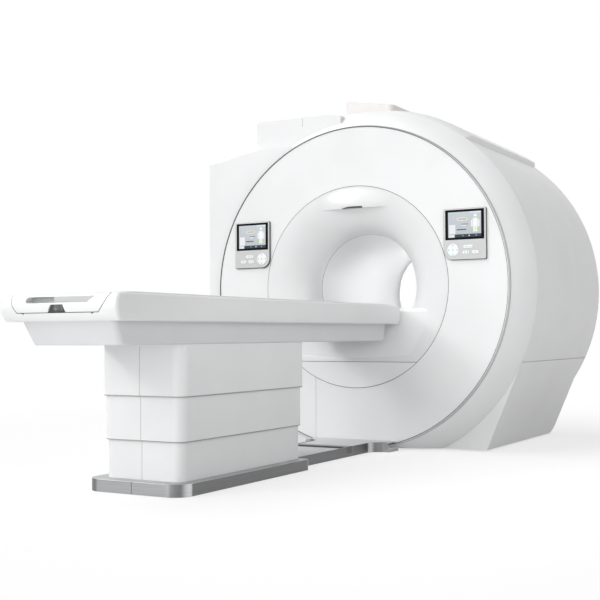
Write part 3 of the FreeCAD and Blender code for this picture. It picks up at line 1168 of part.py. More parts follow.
def base_plate():
    """Steel floor plate of the table, with its four anchor holes."""
    ys = (BASE_FOOT + BASE_ANCHOR_INSET, BASE_END - BASE_ANCHOR_INSET)
    plate = base_shape(BASE_TRIM_WALL + LAP_GAP, 0, BASE_PLATE)
    return plate.cut(anchor_holes(BASE_ANCHOR_X, ys, BASE_PLATE))


def plinth_side(inset, z0, z1):
    """Right half of the plinth's plan: straight, then flaring to the gantry."""
    r = PLINTH_FLARE_RADIUS
    half, wide = PLINTH_HALF_WIDTH - inset, PLINTH_FLARE_HALF - inset
    flare = PLINTH_FLARE_Y + inset
    y0 = BASE_END + LAP_GAP
    bend = r * ARC_MIDDLE
    face = outline(at_z(z0), (0, y0), (half, y0), (half, flare - r),
                   ((half + bend, flare - bend), (half + r, flare)), (wide, flare),
                   (wide, FRONT - LAP_GAP), (0, FRONT - LAP_GAP))
    return face.extrude(V(0, 0, z1 - z0))


def plinth_trim():
    """Metal side strips of the floor plinth."""
    strip = plinth_side(0, 0, PLINTH_HEIGHT).cut(plinth_side(BASE_TRIM_WALL, -PAST, PLINTH_HEIGHT + PAST))
    strip = right_of(strip, PLINTH_HALF_WIDTH / 2)
    strip = strip.cut(dock_bar_block(LAP_GAP))
    lean = outline(at_y(-WIDE), (PLINTH_FLARE_HALF - PLINTH_LEAN, PLINTH_HEIGHT + PAST),
                   (PLINTH_FLARE_HALF + PAST, -PAST),
                   (PLINTH_FLARE_HALF + PAST, PLINTH_HEIGHT + PAST))
    strip = strip.cut(lean.extrude(V(0, 2 * WIDE, 0)))
    return Part.makeCompound(strip.Solids + mirrored(strip).Solids)


def dock_bar_block(gap):
    reach = PLINTH_HALF_WIDTH
    y0, y1 = DOCK_BAR_Y - DOCK_BAR_WIDTH / 2, DOCK_BAR_Y + DOCK_BAR_WIDTH / 2
    return block(-reach - gap, reach + gap, y0 - gap, y1 + gap, DOCK_BAR_BOTTOM - gap,
                 PLINTH_HEIGHT + 2 * gap)


def plinth_cover():
    """Top cover of the floor plinth, lower near the table, with side walls."""
    inset = BASE_TRIM_WALL + LAP_GAP
    t = PLINTH_COVER_THICKNESS
    high = plinth_side(inset, 0, PLINTH_COVER_HIGH).cut(plinth_side(inset + t, -PAST, PLINTH_COVER_HIGH - t))
    high = high.fuse(mirrored(high))
    low = block(-WIDE, WIDE, -WIDE, DOCK_BAR_Y, PLINTH_COVER_LOW, WIDE)
    room = block(-PLINTH_HALF_WIDTH + inset + t, PLINTH_HALF_WIDTH - inset - t, -WIDE, DOCK_BAR_Y,
                 -PAST, PLINTH_COVER_LOW - t)
    floor = block(-PLINTH_HALF_WIDTH + inset, PLINTH_HALF_WIDTH - inset, BASE_END + LAP_GAP, DOCK_BAR_Y,
                  PLINTH_COVER_LOW - t, PLINTH_COVER_LOW)
    lean = outline(at_y(-WIDE), (PLINTH_FLARE_HALF - inset - PLINTH_LEAN, PLINTH_HEIGHT + PAST),
                   (PLINTH_FLARE_HALF + PAST, -inset - PAST),
                   (PLINTH_FLARE_HALF + PAST, PLINTH_HEIGHT + PAST))
    lean = lean.extrude(V(0, 2 * WIDE, 0))
    cover = high.cut(low).fuse(floor).cut([room, dock_bar_block(LAP_GAP), lean, mirrored(lean)])
    return cover.removeSplitter()


def dock_bar():
    """Cross bar that locks the table to the floor plinth."""
    return dock_bar_block(0)


# ---- every piece, by name ----------------------------------------------------
PIECES = {
    "magnet_vessel": magnet_vessel,
    "magnet_cradle": magnet_cradle,
    "cold_head": cold_head,
    "gradient_coil": gradient_coil,
    "rf_coil": rf_coil,
    "bore_liner": bore_liner,
    "cover_frame": cover_frame,
    "front_funnel": front_funnel,
    "lower_funnel_panel": lower_funnel_panel,
    "visor": visor,
    "visor_lamp": visor_lamp,
    "front_panel": front_panel,
    "trim_ring": trim_ring,
    "front_bezel": front_bezel,
    "cheek_cover": cheek_cover,
    "turret_cover": turret_cover,
    "barrel_cover_right": barrel_cover,
    "barrel_cover_left": lambda: mirrored(barrel_cover()),
    "skirt_cover_right": skirt_cover,
    "skirt_cover_left": lambda: mirrored(skirt_cover()),
    "roof_cover": roof_cover,
    "roof_box": roof_box,
    "rear_cover": rear_cover,
    "bore_bridge": bore_bridge,
    "panel_housing_right": panel_housing,
    "panel_housing_left": lambda: mirrored(panel_housing()),
    "screen_right": screen,
    "screen_left": lambda: mirrored(screen()),
    "direction_pad_right": direction_pad,
    "direction_pad_left": lambda: mirrored(direction_pad()),
    "base_plate": base_plate,
    "base_trim_right": base_trim,
    "base_trim_left": lambda: mirrored(base_trim()),
    "lower_shell_right": lambda: shell(2, BASE_PLATE, LOWER_SHELL_TOP),
    "lower_shell_left": lambda: mirrored(shell(2, BASE_PLATE, LOWER_SHELL_TOP)),
    "middle_shell_right": lambda: shell(1, MIDDLE_SHELL_BOTTOM, CARRIER_TOP),
    "middle_shell_left": lambda: mirrored(shell(1, MIDDLE_SHELL_BOTTOM, CARRIER_TOP)),
    "upper_shell_right": lambda: shell(0, UPPER_SHELL_BOTTOM, TRAY_BOTTOM),
    "upper_shell_left": lambda: mirrored(shell(0, UPPER_SHELL_BOTTOM, TRAY_BOTTOM)),
    "column_fixed": column_fixed,
    "column_middle": column_middle,
    "column_inner": column_inner,
    "tray_cover": tray_cover,
    "table_frame": table_frame,
    "table_rim": table_rim,
    "foot_cap": foot_cap,
    "latch_button": latch_button,
    "table_top": table_top,
    "drive_belt": drive_belt,
    "drive_pulley": lambda: pulley(PULLEY_FOOT_Y),
    "idler_pulley": lambda: pulley(PULLEY_END_Y),
    "plinth_cover": plinth_cover,
    "plinth_trim": plinth_trim,
    "dock_bar": dock_bar,
}
for key_name in KEYS:
    PIECES[key_name + "_right"] = lambda n=key_name: key(n)
    PIECES[key_name + "_left"] = lambda n=key_name: mirrored(key(n))


def main():
    os.makedirs("parts", exist_ok=True)
    for name, make in PIECES.items():
        shape = make()
        shape.exportStep("parts/%s.step" % name)
        print("%-22s %d solid(s) %10.1f cm3" % (name, len(shape.Solids), shape.Volume / 1000.0))


main()
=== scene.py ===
# %% [markdown]
# # Dressing a magnetic resonance scanner
#
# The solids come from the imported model, so nothing here decides a size. This lesson adds
# what a designer calls colour, material and finish: soft edges on the moulded covers,
# brushed metal round the foot, glass over the screens, print on the keys.
# Every length is in metres, in the solids' own frame.

# %% Load the frame
import json
import math

import bmesh
import bpy
from mathutils import Matrix, Vector
from mathutils.bvhtree import BVHTree

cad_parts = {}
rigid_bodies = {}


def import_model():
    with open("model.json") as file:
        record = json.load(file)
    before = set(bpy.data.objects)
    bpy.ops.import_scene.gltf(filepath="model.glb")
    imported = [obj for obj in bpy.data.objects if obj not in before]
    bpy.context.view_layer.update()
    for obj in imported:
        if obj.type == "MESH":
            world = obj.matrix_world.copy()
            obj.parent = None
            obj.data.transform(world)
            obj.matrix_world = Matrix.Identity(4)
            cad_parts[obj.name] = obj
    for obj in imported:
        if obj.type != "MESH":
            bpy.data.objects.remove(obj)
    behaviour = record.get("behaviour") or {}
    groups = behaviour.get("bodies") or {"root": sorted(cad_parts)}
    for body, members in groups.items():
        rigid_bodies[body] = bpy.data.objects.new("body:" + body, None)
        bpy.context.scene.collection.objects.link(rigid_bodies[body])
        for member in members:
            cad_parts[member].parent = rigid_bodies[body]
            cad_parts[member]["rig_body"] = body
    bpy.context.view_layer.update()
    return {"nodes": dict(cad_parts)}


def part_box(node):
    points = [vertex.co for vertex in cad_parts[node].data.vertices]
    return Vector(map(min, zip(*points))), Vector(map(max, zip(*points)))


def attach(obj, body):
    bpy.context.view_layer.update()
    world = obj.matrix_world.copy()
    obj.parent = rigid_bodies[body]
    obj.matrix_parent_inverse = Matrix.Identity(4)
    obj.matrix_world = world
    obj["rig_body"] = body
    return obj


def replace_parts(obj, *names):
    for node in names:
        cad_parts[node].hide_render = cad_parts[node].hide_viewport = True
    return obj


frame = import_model()
nodes = frame["nodes"]

# %% [markdown]
# ## Writing a material as sums
#
# Math nodes wired one after another are soon unreadable. Here one small class stands for an
# output socket. Adding or multiplying two of them adds the Math node, so a pattern reads like
# the sum it is. Every other node comes from `node`, which makes the settings first, because
# they decide which sockets the node has.


# %% A socket that can be reckoned with
class Wire:
    """An output socket of a node. Sums with it add Math nodes."""

    def __init__(self, tree, socket=None):
        self.tree = tree
        self.socket = socket

    def node(self, kind, settings=(), inputs=(), out=0):
        """Adds a node: first its settings, then its sockets. Gives the wire of one output."""
        made = self.tree.nodes.new("ShaderNode" + kind)
        for name, value in dict(settings).items():
            setattr(made, name, value)
        for name, value in dict(inputs).items():
            if isinstance(value, Wire):
                self.tree.links.new(value.socket, made.inputs[name])
            else:
                made.inputs[name].default_value = value
        return Wire(self.tree, made.outputs[out])

    def maths(self, operation, *values):
        return self.node("Math", {"operation": operation}, dict(enumerate(values)))

    def __add__(self, other):
        return self.maths("ADD", self, other)

    __radd__ = __add__

    def __sub__(self, other):
        return self.maths("SUBTRACT", self, other)

    def __rsub__(self, other):
        return self.maths("SUBTRACT", other, self)

    def __mul__(self, other):
        return self.maths("MULTIPLY", self, other)

    __rmul__ = __mul__

    def __truediv__(self, other):
        return self.maths("DIVIDE", self, other)

    def __abs__(self):
        return self.maths("ABSOLUTE", self)

    def root(self):
        return self.maths("SQRT", self)

    def least(self, other):
        return self.maths("MINIMUM", self, other)

    def most(self, other):
        return self.maths("MAXIMUM", self, other)

    def rise(self, low, high):
        """0 below low, 1 above high, and a smooth step between them."""
        return self.node("MapRange", {"interpolation_type": "SMOOTHSTEP"},
                         {"Value": self, "From Min": low, "From Max": high})


class Finish:
    """One material in the making: its shader, and what its patterns start from."""

    def __init__(self, name, **constants):
        self.material = bpy.data.materials.new(name)
        self.material.use_nodes = True
        tree = self.material.node_tree
        tree.nodes.clear()
        self.tree = tree
        self.start = Wire(tree)
        self.shader = tree.nodes.new("ShaderNodeBsdfPrincipled")
        output = tree.nodes.new("ShaderNodeOutputMaterial")
        tree.links.new(self.shader.outputs[0], output.inputs["Surface"])
        self.place = self.start.node("TexCoord", out="Object")
        for socket, value in constants.items():
            self.set(socket.replace("_", " "), value)

    def set(self, socket, value):
        if isinstance(value, Wire):
            self.tree.links.new(value.socket, self.shader.inputs[socket])
        else:
            self.shader.inputs[socket].default_value = value

    def along(self, axis, vector=None):
        return self.start.node("SeparateXYZ", (), {0: vector or self.place}, out=axis)

    def stretched(self, x, y, z):
        """The place, scaled by a different amount along each axis."""
        return self.start.node("Mapping", (), {"Vector": self.place, "Scale": (x, y, z)})

    def noise(self, scale, detail=2.0, place=None):
        inputs = {"Vector": place or self.place, "Scale": scale, "Detail": detail}
        return self.start.node("TexNoise", (), inputs, out="Fac")

    def facing(self, axis):
        """How far the surface faces along an axis, from -1 to 1."""
        return self.along(axis, self.start.node("NewGeometry", out="Normal"))

    def blend(self, share, first, second):
        """A colour between two, by a share from 0 to 1."""
        def colour(c):
            return c if isinstance(c, Wire) else (*c, 1.0)
        return self.start.node("Mix", {"data_type": "RGBA", "clamp_factor": True},
                               {0: share, 6: colour(first), 7: colour(second)}, out=2)

    def relief(self, height, depth):
        """Feeds a height, in shares of a depth in metres, to the shader's normal."""
        self.set("Normal", self.start.node("Bump", (), {"Height": height, "Distance": depth}))


print("two helpers for materials:", Wire.__name__, "and", Finish.__name__)

# %% [markdown]
# ## Lacquered covers
#
# The covers are fibreglass or vacuum-formed sheet, sprayed with a white satin lacquer. Close
# up it has a faint orange peel, and over a metre the sheet is not perfectly flat. So the
# finish has two scales of relief, a slight drift of tone, and a film of dust and scuffs near
# the floor, where shoes and trolleys touch it.


# %% White lacquer and its relatives
def lacquer(name, white, roughness=0.38, peel=0.00003, coat=0.25, scuffed=True):
    """Sprayed white over a moulded sheet."""
    f = Finish(name, Coat_Roughness=0.22)
    shade = tuple(0.965 * c for c in white)
    colour = f.blend(f.noise(2.3, 3.0).rise(0.35, 0.7), white, shade)
    if scuffed:
        marks = f.noise(38.0, 6.0, f.stretched(1.0, 1.0, 3.0)).rise(0.6, 0.72)
        low = 1 - f.along("Z").rise(0.03, 0.34)
        colour = f.blend(marks * low * 0.08, colour, (0.45, 0.44, 0.43))
    f.set("Base Color", colour)
    f.set("Roughness", roughness + f.noise(17.0, 4.0) * 0.12 - 0.06)
    f.set("Coat Weight", coat * (0.8 + 0.4 * f.noise(5.0)))
    orange_peel = f.noise(420.0, 1.0)
    sheet = f.noise(3.1, 1.0)
    f.relief(orange_peel + sheet * 12.0, peel)
    return f.material


COVER_WHITE = lacquer("cover_lacquer", (0.83, 0.835, 0.84))
ROOF_WHITE = lacquer("roof_box_lacquer", (0.83, 0.80, 0.79), scuffed=False)
TABLE_WHITE = lacquer("table_lacquer", (0.80, 0.805, 0.81), roughness=0.42, coat=0.15)
print("lacquers:", COVER_WHITE.name, ROOF_WHITE.name, TABLE_WHITE.name)

# %% [markdown]
# ## Moulded plastic
#
# The tray, the bore's liner, the bridge and the plinth are moulded plastic. Their mould is
# spark eroded, which leaves a fine even stipple that kills the gloss. One function makes them
# all from a colour, a stipple size and a depth.


# %% Stippled plastic
def moulded(name, tone, roughness=0.5, grain=900.0, depth=0.00004, drift=0.03, coat=0.0):
    """Plastic from a spark-eroded mould."""
    f = Finish(name, Coat_Weight=coat, Coat_Roughness=0.3)
    cloud = f.noise(6.0, 4.0)
    dark = tuple((1 - 2 * drift) * c for c in tone)
    f.set("Base Color", f.blend(cloud, dark, tone))
    cells = f.start.node("TexVoronoi", {"feature": "SMOOTH_F1"},
                         {"Vector": f.place, "Scale": grain}, out="Distance")
    f.set("Roughness", roughness + cells * 0.1 + cloud * 0.06 - 0.05)
    f.relief(cells + f.noise(grain / 3) * 0.6, depth)
    return f.material


GELCOAT = {"roughness": 0.3, "grain": 260.0, "depth": 0.00002, "coat": 0.3}
LINER_WHITE = moulded("liner_gelcoat", (0.82, 0.825, 0.83), **GELCOAT)
# painted shade: the flare and its brow get a darker copy of the liner's gelcoat
FLARE_SHADED_WHITE = moulded("flare_gelcoat", (0.80, 0.805, 0.81), **GELCOAT)
TRAY_GREY = moulded("tray_plastic", (0.70, 0.705, 0.715))
TOP_WHITE = moulded("top_laminate", (0.80, 0.80, 0.795), roughness=0.34, grain=500.0,
                    depth=0.00002, coat=0.1)
BRIDGE_GREY = moulded("bridge_plastic", (0.60, 0.61, 0.62), roughness=0.45)
LATCH_DARK = moulded("latch_plastic", (0.035, 0.036, 0.038), roughness=0.3, grain=1500.0,
                     depth=0.00001, coat=0.4)
PLINTH_GREY = moulded("plinth_vinyl", (0.60, 0.605, 0.61), roughness=0.55, grain=300.0,
                      depth=0.00015)
COIL_RESIN = moulded("coil_resin", (0.36, 0.25, 0.12), roughness=0.4, grain=120.0)
BELT_RUBBER = moulded("belt_rubber", (0.03, 0.03, 0.03), roughness=0.7, grain=600.0)
# dark colour of the seam beads, painted shade that stands in for the shade in the gaps
SEAM_SHADE_DARK = moulded("seal_rubber", (0.06, 0.06, 0.062), roughness=0.65, grain=700.0)
# grey of the wipers: partly the rubber's own, partly painted shade under the shells' edges
WIPER_GREY_AND_SHADE = moulded("wiper_rubber", (0.34, 0.34, 0.345), roughness=0.6, grain=700.0)
GRIP_GREY = moulded("grip_plastic", (0.56, 0.565, 0.57), roughness=0.45, coat=0.2)
print(len(bpy.data.materials), "materials, with those that the frame brings")

# %% [markdown]
# ## Metals
#
# The strip round the base is brushed stainless steel. The brushing runs level, so the noise
# is stretched along X and Y and packed close in Z. The studio is evenly white, so its
# reflections are painted into the colour by the way each face faces: the ledge and the ends are
# mid grey, the long sides dark, and a round corner has one bright upright painted highlight.
# The ring round the front panel is turned on a lathe, so its lines are read from the distance
# to the bore's axis. Its colour has a painted highlight, paler low on the right, and painted
# shadow lines at its edges.


# %% Brushed, turned, painted
AXIS = 1.020003  # height of the bore's axis
BRUSH_DEPTH = 0.00002


def brushing(f, grain, long_grain):
    """Level lines, fine ones over long ones."""
    lines = f.noise(1.0, 4.0, f.stretched(9.0, 9.0, grain))
    return lines * 0.6 + f.noise(1.0, 2.0, f.stretched(1.5, 1.5, long_grain)) * 0.4


def brushed(name, tone, roughness, grain):
    """Metal brushed along the level directions."""
    f = Finish(name, Metallic=1.0)
    streak = brushing(f, grain, grain / 4)
    dark = tuple(0.72 * c for c in tone)
    f.set("Base Color", f.blend(streak.rise(0.3, 0.7), dark, tone))
    f.set("Roughness", roughness + streak * 0.22 - 0.1)
    f.relief(streak, BRUSH_DEPTH)
    return f.material


def strip_with_painted_reflections(name, ledge, end, side, painted_glint):
    """A level-brushed strip with painted reflections: dark long sides, bright round corners."""
    f = Finish(name, Metallic=1.0)
    streak = brushing(f, 900.0, 220.0)
    # painted reflections: the tone depends on how a face faces, with a painted highlight on round
    # corners
    across = abs(f.facing(0))
    corner = across.rise(0.7, 0.96) * (1 - across.rise(0.98, 0.9995))
    tone = f.blend(across.rise(0.05, 0.35), end, side)
    tone = f.blend(corner, tone, painted_glint)
    tone = f.blend(f.facing(2).rise(0.45, 0.9), tone, ledge)
    f.set("Base Color", f.blend(streak.rise(0.3, 0.7) * 0.2, tone, (0.02, 0.02, 0.02)))
    f.set("Roughness", 0.26 + streak * 0.2)
    f.relief(streak, BRUSH_DEPTH)
    return f.material


RING_INNER = 1.014  # the ring's inner radius
RING_ROOT = -0.80  # where its slope ends, behind the panel's face
RING_LINE = 0.0016  # shadow line at either edge of the ring


def turned_ring(name, dark, painted_highlight_tone):
    """Metal ring: lathe lines, painted highlight low on the right, painted shadow at its edges."""
    f = Finish(name, Metallic=0.9)
    x = f.along("X")
    z = f.along("Z") - AXIS
    radius = (x * x + z * z).root()
    line = f.start.node("CombineXYZ", (), {"X": radius * 3000.0, "Y": f.along("Y") * 900.0})
    lines = f.noise(1.0, 2.0, line)
    # painted highlight: the ring is painted paler towards the lower right and darker towards the
    # upper left
    turn = (x * 0.8 - z * 0.6) / radius
    tone = f.blend(turn.rise(-0.75, 0.75), dark, painted_highlight_tone)
    # painted shadow lines at the ring's inner edge and where it meets the panel behind
    painted_shadow_line = 1 - (radius - RING_INNER).rise(RING_LINE, 2 * RING_LINE)
    painted_shadow_line = painted_shadow_line.most(f.along("Y").rise(RING_ROOT - RING_LINE, RING_ROOT))
    tone = f.blend(painted_shadow_line, tone, (0.05, 0.05, 0.052))
    f.set("Base Color", f.blend(lines * 0.25, tone, (0.03, 0.03, 0.03)))
    f.set("Roughness", 0.3 + lines * 0.15)
    f.relief(lines, 0.00001)
    return f.material


BASE_METAL = strip_with_painted_reflections("base_stainless", (0.46, 0.465, 0.47), (0.41, 0.415, 0.42),
                        (0.19, 0.192, 0.195), (0.66, 0.665, 0.67))
MACHINED = brushed("machined_aluminium", (0.62, 0.63, 0.64), 0.35, 500.0)
RING_METAL = turned_ring("ring_metal_turned", (0.17, 0.175, 0.18), (0.62, 0.625, 0.63))
FRAME_STEEL = lacquer("frame_powder", (0.30, 0.31, 0.33), roughness=0.55, peel=0.00008, coat=0)
VESSEL_STEEL = lacquer("vessel_paint", (0.55, 0.57, 0.60), roughness=0.45, peel=0.00006, coat=0)
COPPER = brushed("coil_copper", (0.72, 0.33, 0.16), 0.3, 300.0)
print("metals:", BASE_METAL.name, RING_METAL.name, MACHINED.name, COPPER.name)

# %% [markdown]
# ## Give every solid its finish
#
# The record names a material slot for each solid, and one list from slot to finish dresses
# them all. The flare has a finish of its own, a little darker than the other covers, as painted
# shade.

# %% Slots to finishes
FINISHES = {
    "cover_white": COVER_WHITE, "roof_box_white": ROOF_WHITE, "liner_white": LINER_WHITE,
    "table_white": TABLE_WHITE, "top_white": TOP_WHITE, "tray_grey": TRAY_GREY,
    "bridge_grey": BRIDGE_GREY, "plinth_grey": PLINTH_GREY, "latch_dark": LATCH_DARK,
    "lamp_dark": LATCH_DARK, "panel_white": TRAY_GREY, "key_grey": TOP_WHITE,
    "screen": LATCH_DARK, "ring_metal": RING_METAL, "base_metal": BASE_METAL,
    "machine_aluminium": MACHINED, "frame_steel": FRAME_STEEL, "vessel_steel": VESSEL_STEEL,
    "coil_resin": COIL_RESIN, "copper": COPPER, "belt_rubber": BELT_RUBBER,
}
slot_of = {name: solid.data.materials[0].name.split(".")[0] for name, solid in nodes.items()}
for name, slot_name in slot_of.items():
    nodes[name].data.materials.clear()
    nodes[name].data.materials.append(FINISHES[slot_name])
# the flare's darker finish is painted shade
nodes["front_funnel"].data.materials[0] = FLARE_SHADED_WHITE
print(len(slot_of), "solids dressed from", len(set(slot_of.values())), "slots")

# %% [markdown]
# ## Edges that catch the light
#
# No moulded edge is a knife edge: a round of 1 or 2 millimetres catches the light. The solids
# are sharp where a radius is that small, and they are fixed, so each cover gets a copy of its
# mesh. Its loose triangles are merged, its flats are made whole again, and the bevel operator
# rounds every edge that turns by more than 30 degrees.

# %% A piece, and the copy of a solid
SIDES = ("_right", "_left")
SHELLS = ("upper_shell", "middle_shell", "lower_shell")
WELD = 0.00002
FLAT_ANGLE = math.radians(0.5)
EDGE_ANGLE = math.radians(30)
SMOOTH_ANGLE = math.radians(32)


def placed(name, data):
    """An object of its data, linked to the scene."""
    made = bpy.data.objects.new(name, data)
    bpy.context.scene.collection.objects.link(made)
    return made


def piece(name, mesh, body, finish):
    """Makes an object of a bmesh, and tells the frame what it is."""
    data = bpy.data.meshes.new(name)
    mesh.to_mesh(data)
    mesh.free()
    data.shade_smooth()
    data.set_sharp_from_angle(angle=SMOOTH_ANGLE)
    made = placed(name, data)
    made.modifiers.new("even_normals", "WEIGHTED_NORMAL").keep_sharp = True
    data.materials.append(finish)
    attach(made, body)
    return made


def stand_in(name, mesh, node, finish):
    """A piece that takes a solid's place, on its body."""
    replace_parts(piece(name, mesh, nodes[node]["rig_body"], finish), node)


def weld(mesh):
    bmesh.ops.remove_doubles(mesh, verts=mesh.verts, dist=WELD)


def welded(node):
    """A copy of a solid's mesh, its triangles joined and its flats made whole."""
    mesh = bmesh.new()
    mesh.from_mesh(nodes[node].data)
    weld(mesh)
    bmesh.ops.dissolve_limit(mesh, angle_limit=FLAT_ANGLE, verts=mesh.verts, edges=mesh.edges)
    return mesh


def reach(mesh):
    """How far a bmesh reaches down and up along each axis."""
    return [max(way * v.co[i] for v in mesh.verts) for i in range(3) for way in (-1, 1)]


def folds(mesh):
    """The edges between two faces."""
    return [e for e in mesh.edges if len(e.link_faces) == 2]


def bevel(mesh, edges, width, segments):
    bmesh.ops.bevel(mesh, geom=edges, offset=width, offset_type="OFFSET", segments=segments,
                    profile=0.5, affect="EDGES", clamp_overlap=True, material=-1)


def round_edges(mesh, width, segments, angle=EDGE_ANGLE):
    """Bevels the edges that turn by more than an angle."""
    edges = [e for e in folds(mesh) if e.calc_face_angle() > angle]
    bevel(mesh, edges, width, segments)
    return len(edges)


def rounded(node, width, segments, finish=None, shape=None):
    """Replaces a solid by its copy with rounded edges, if the bevel comes out sound."""
    mesh = welded(node)
    if shape:
        shape(mesh)
    before = reach(mesh)
    count = round_edges(mesh, width, segments)
    growth = [now - then for now, then in zip(reach(mesh), before)]
    open_edges = len(mesh.edges) - len(folds(mesh))
    print(f"  {node}: {count} edges rounded, {len(mesh.faces)} faces, {open_edges} edges open")
    if min(growth) < -2 * width or max(growth) > WELD or open_edges:
        print("  left as it is:", node)
        mesh.free()
        return
    stand_in("rounded_" + node, mesh, node, finish or nodes[node].data.materials[0])


def both_sides(*names):
    return [name + side for name in names for side in SIDES]


EDGES = (  # width and segments of a round, and the solids that get it
    (0.0022, 3, ["cheek_cover", "turret_cover", "roof_box"]
     + both_sides("skirt_cover", "barrel_cover")),
    (0.0012, 2, ["front_panel", "front_bezel", "rear_cover", "lower_funnel_panel"]
     + both_sides(*SHELLS)),
    (0.0011, 2, ["table_rim", "table_top", "tray_cover"]),
    (0.0016, 3, both_sides("base_trim") + ["plinth_trim", "plinth_cover", "dock_bar"]),
)
for width, segments, names in EDGES:
    for node in names:
        rounded(node, width, segments)

# %% [markdown]
# ## The ramp of the roof cover
#
# The roof cover is a saddle 28 millimetres thick over the barrel. In front the real one runs
# out in a ramp, down to the crest of the front bezel, where the solid ends in a square wall.
# The ramp is that wall drawn forward by the extrude operator, with its front edge brought down
# to the crest's radius.

# %% Roof cover
RAMP_FRONT = -0.659  # just behind the bezel's crest
CREST = 1.142  # radius of the crest
RAMP_EDGE = 0.0045  # thickness of the ramp's front edge
SADDLE_TOP = 1.170  # radius of the roof cover's top


def extruded(mesh, faces=None):
    """Extrudes faces, or all that there are. Gives the new vertices."""
    grown = bmesh.ops.extrude_face_region(mesh, geom=faces or mesh.faces[:])
    return [v for v in grown["geom"] if isinstance(v, bmesh.types.BMVert)]


def shift(mesh, way, verts=None):
    """Moves some vertices, or all of them."""
    bmesh.ops.translate(mesh, vec=way, verts=verts or mesh.verts)


def face_outwards(mesh):
    bmesh.ops.recalc_face_normals(mesh, faces=mesh.faces)


def ramp(mesh):
    """Draws the front wall of the roof cover forward and down."""
    front = min(v.co.y for v in mesh.verts)
    wall = [f for f in mesh.faces if f.normal.y < -0.9 and f.calc_center_median().y < front + WELD]
    for v in extruded(mesh, wall):
        upper = math.hypot(v.co.x, v.co.z - AXIS) > (CREST + SADDLE_TOP) / 2
        radius = CREST if upper else CREST - RAMP_EDGE
        v.co = (v.co.x, RAMP_FRONT, AXIS + math.sqrt(radius ** 2 - v.co.x ** 2))
    bmesh.ops.delete(mesh, geom=[f for f in wall if f.is_valid], context="FACES_ONLY")
    face_outwards(mesh)
    print("ramp from", round(front, 3), "to", RAMP_FRONT)


rounded("roof_cover", 0.0014, 2, shape=ramp)

# %% [markdown]
# ## The latch
#
# The latch that frees the table top is a button of smoked plastic. Its middle is painted paler
# than its border, a painted sheen.

# %% Smoked plastic
SHEEN_MIDDLE = 0.006  # X of the middle of the painted sheen


def smoked(name, low, high):
    """Dark plastic with a painted sheen in its middle, in the box of a button."""
    f = Finish(name, Coat_Weight=0.6, Coat_Roughness=0.08)
    up = (f.along("Z") - low.z) / (high.z - low.z)
    across = abs(f.along("X") - SHEEN_MIDDLE) / high.x
    mist = f.noise(45.0, 3.0).rise(0.3, 0.7)
    # painted sheen: the button's middle is painted paler than its border
    thin = up.rise(0.12, 0.5) * (1 - across.rise(0.35, 0.62)) * (0.4 + 0.6 * mist)
    f.set("Base Color", f.blend(thin, (0.016, 0.016, 0.017), (0.17, 0.17, 0.172)))
    f.set("Roughness", 0.2 + mist * 0.1)
    return f.material


rounded("latch_button", 0.0011, 2, smoked("latch_smoked", *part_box("latch_button")))

# %% [markdown]
# ## The visor over the bore
#
# A brow, moulded with the flare, grows out of it above the bore and ends below in a sharp lip.
# It has no side edges: the swelling fades to nothing at both ends and at the top. So a grid of
# points is laid on the flare's own surface, pushed forward by the swelling, and extruded back
# into the flare to make a closed body.

# %% Where the flare's surface is
FRONT = -0.82  # the front panel
BORE_RADIUS = 0.35
FLARE_WIDTH = 0.29
FLARE_DEPTH = 0.22


def flare_y(x, z):
    """Where the flare's surface lies, at a place in front of it."""
    radius = math.hypot(x, z - AXIS)
    share = 1 - (radius - BORE_RADIUS) / FLARE_WIDTH
    share = min(max(share, 0.0), 1.0)
    return FRONT + FLARE_DEPTH * (1 - math.sqrt(1 - share * share))


FLARE_MOUTH = BORE_RADIUS + FLARE_WIDTH
print("the flare starts at", flare_y(0, AXIS + FLARE_MOUTH), "with radius", FLARE_MOUTH)

# %% The brow
VISOR_HALF = 0.248
VISOR_LIP = 1.518
VISOR_TOP_RADIUS = 0.628  # its top fades out just inside the flare's mouth
VISOR_SWELL = 0.050
VISOR_ROOT = 0.004  # how far its back lies inside the flare's wall


def sheet(columns, rows, place):
    """A grid whose points go where a function of two shares from 0 to 1 puts them."""
    mesh = bmesh.new()
    bmesh.ops.create_grid(mesh, x_segments=columns, y_segments=rows, size=1.0)
    for v in mesh.verts:
        v.co = place((v.co.x + 1) / 2, (v.co.y + 1) / 2)
    return mesh


def between(ends, share):
    return ends[0] + share * (ends[1] - ends[0])


def visor_top(x):
    return AXIS + math.sqrt(VISOR_TOP_RADIUS ** 2 - x ** 2)


def brow_y(x, z):
    """Where the brow's surface lies: the flare's own, less the swelling on it."""
    side = max(0.0, 1 - (x / VISOR_HALF) ** 2)
    up = min(max((z - VISOR_LIP) / (visor_top(x) - VISOR_LIP), 0.0), 1.0)
    swell = VISOR_SWELL * side ** 1.7 * (1 - up) ** 1.6 * (1 + 1.2 * up)
    return flare_y(x, z) - swell


def brow():
    def place(across, up):
        x = between((-VISOR_HALF, VISOR_HALF), across)
        z = between((VISOR_LIP, visor_top(x)), up)
        return x, brow_y(x, z), z

    mesh = sheet(64, 22, place)
    print("brow:", len(mesh.verts), "points on its face")
    for v in extruded(mesh):
        v.co.y = flare_y(v.co.x, v.co.z) + VISOR_ROOT
    face_outwards(mesh)
    stand_in("visor_brow", mesh, "visor", FLARE_SHADED_WHITE)


brow()

# %% The dark window in its lip
WINDOW_X = (-0.076, 0.071)
WINDOW_Z = (1.5165, 1.5275)
WINDOW_PROUD = 0.0006  # out of the brow
WINDOW_DEEP = 0.012


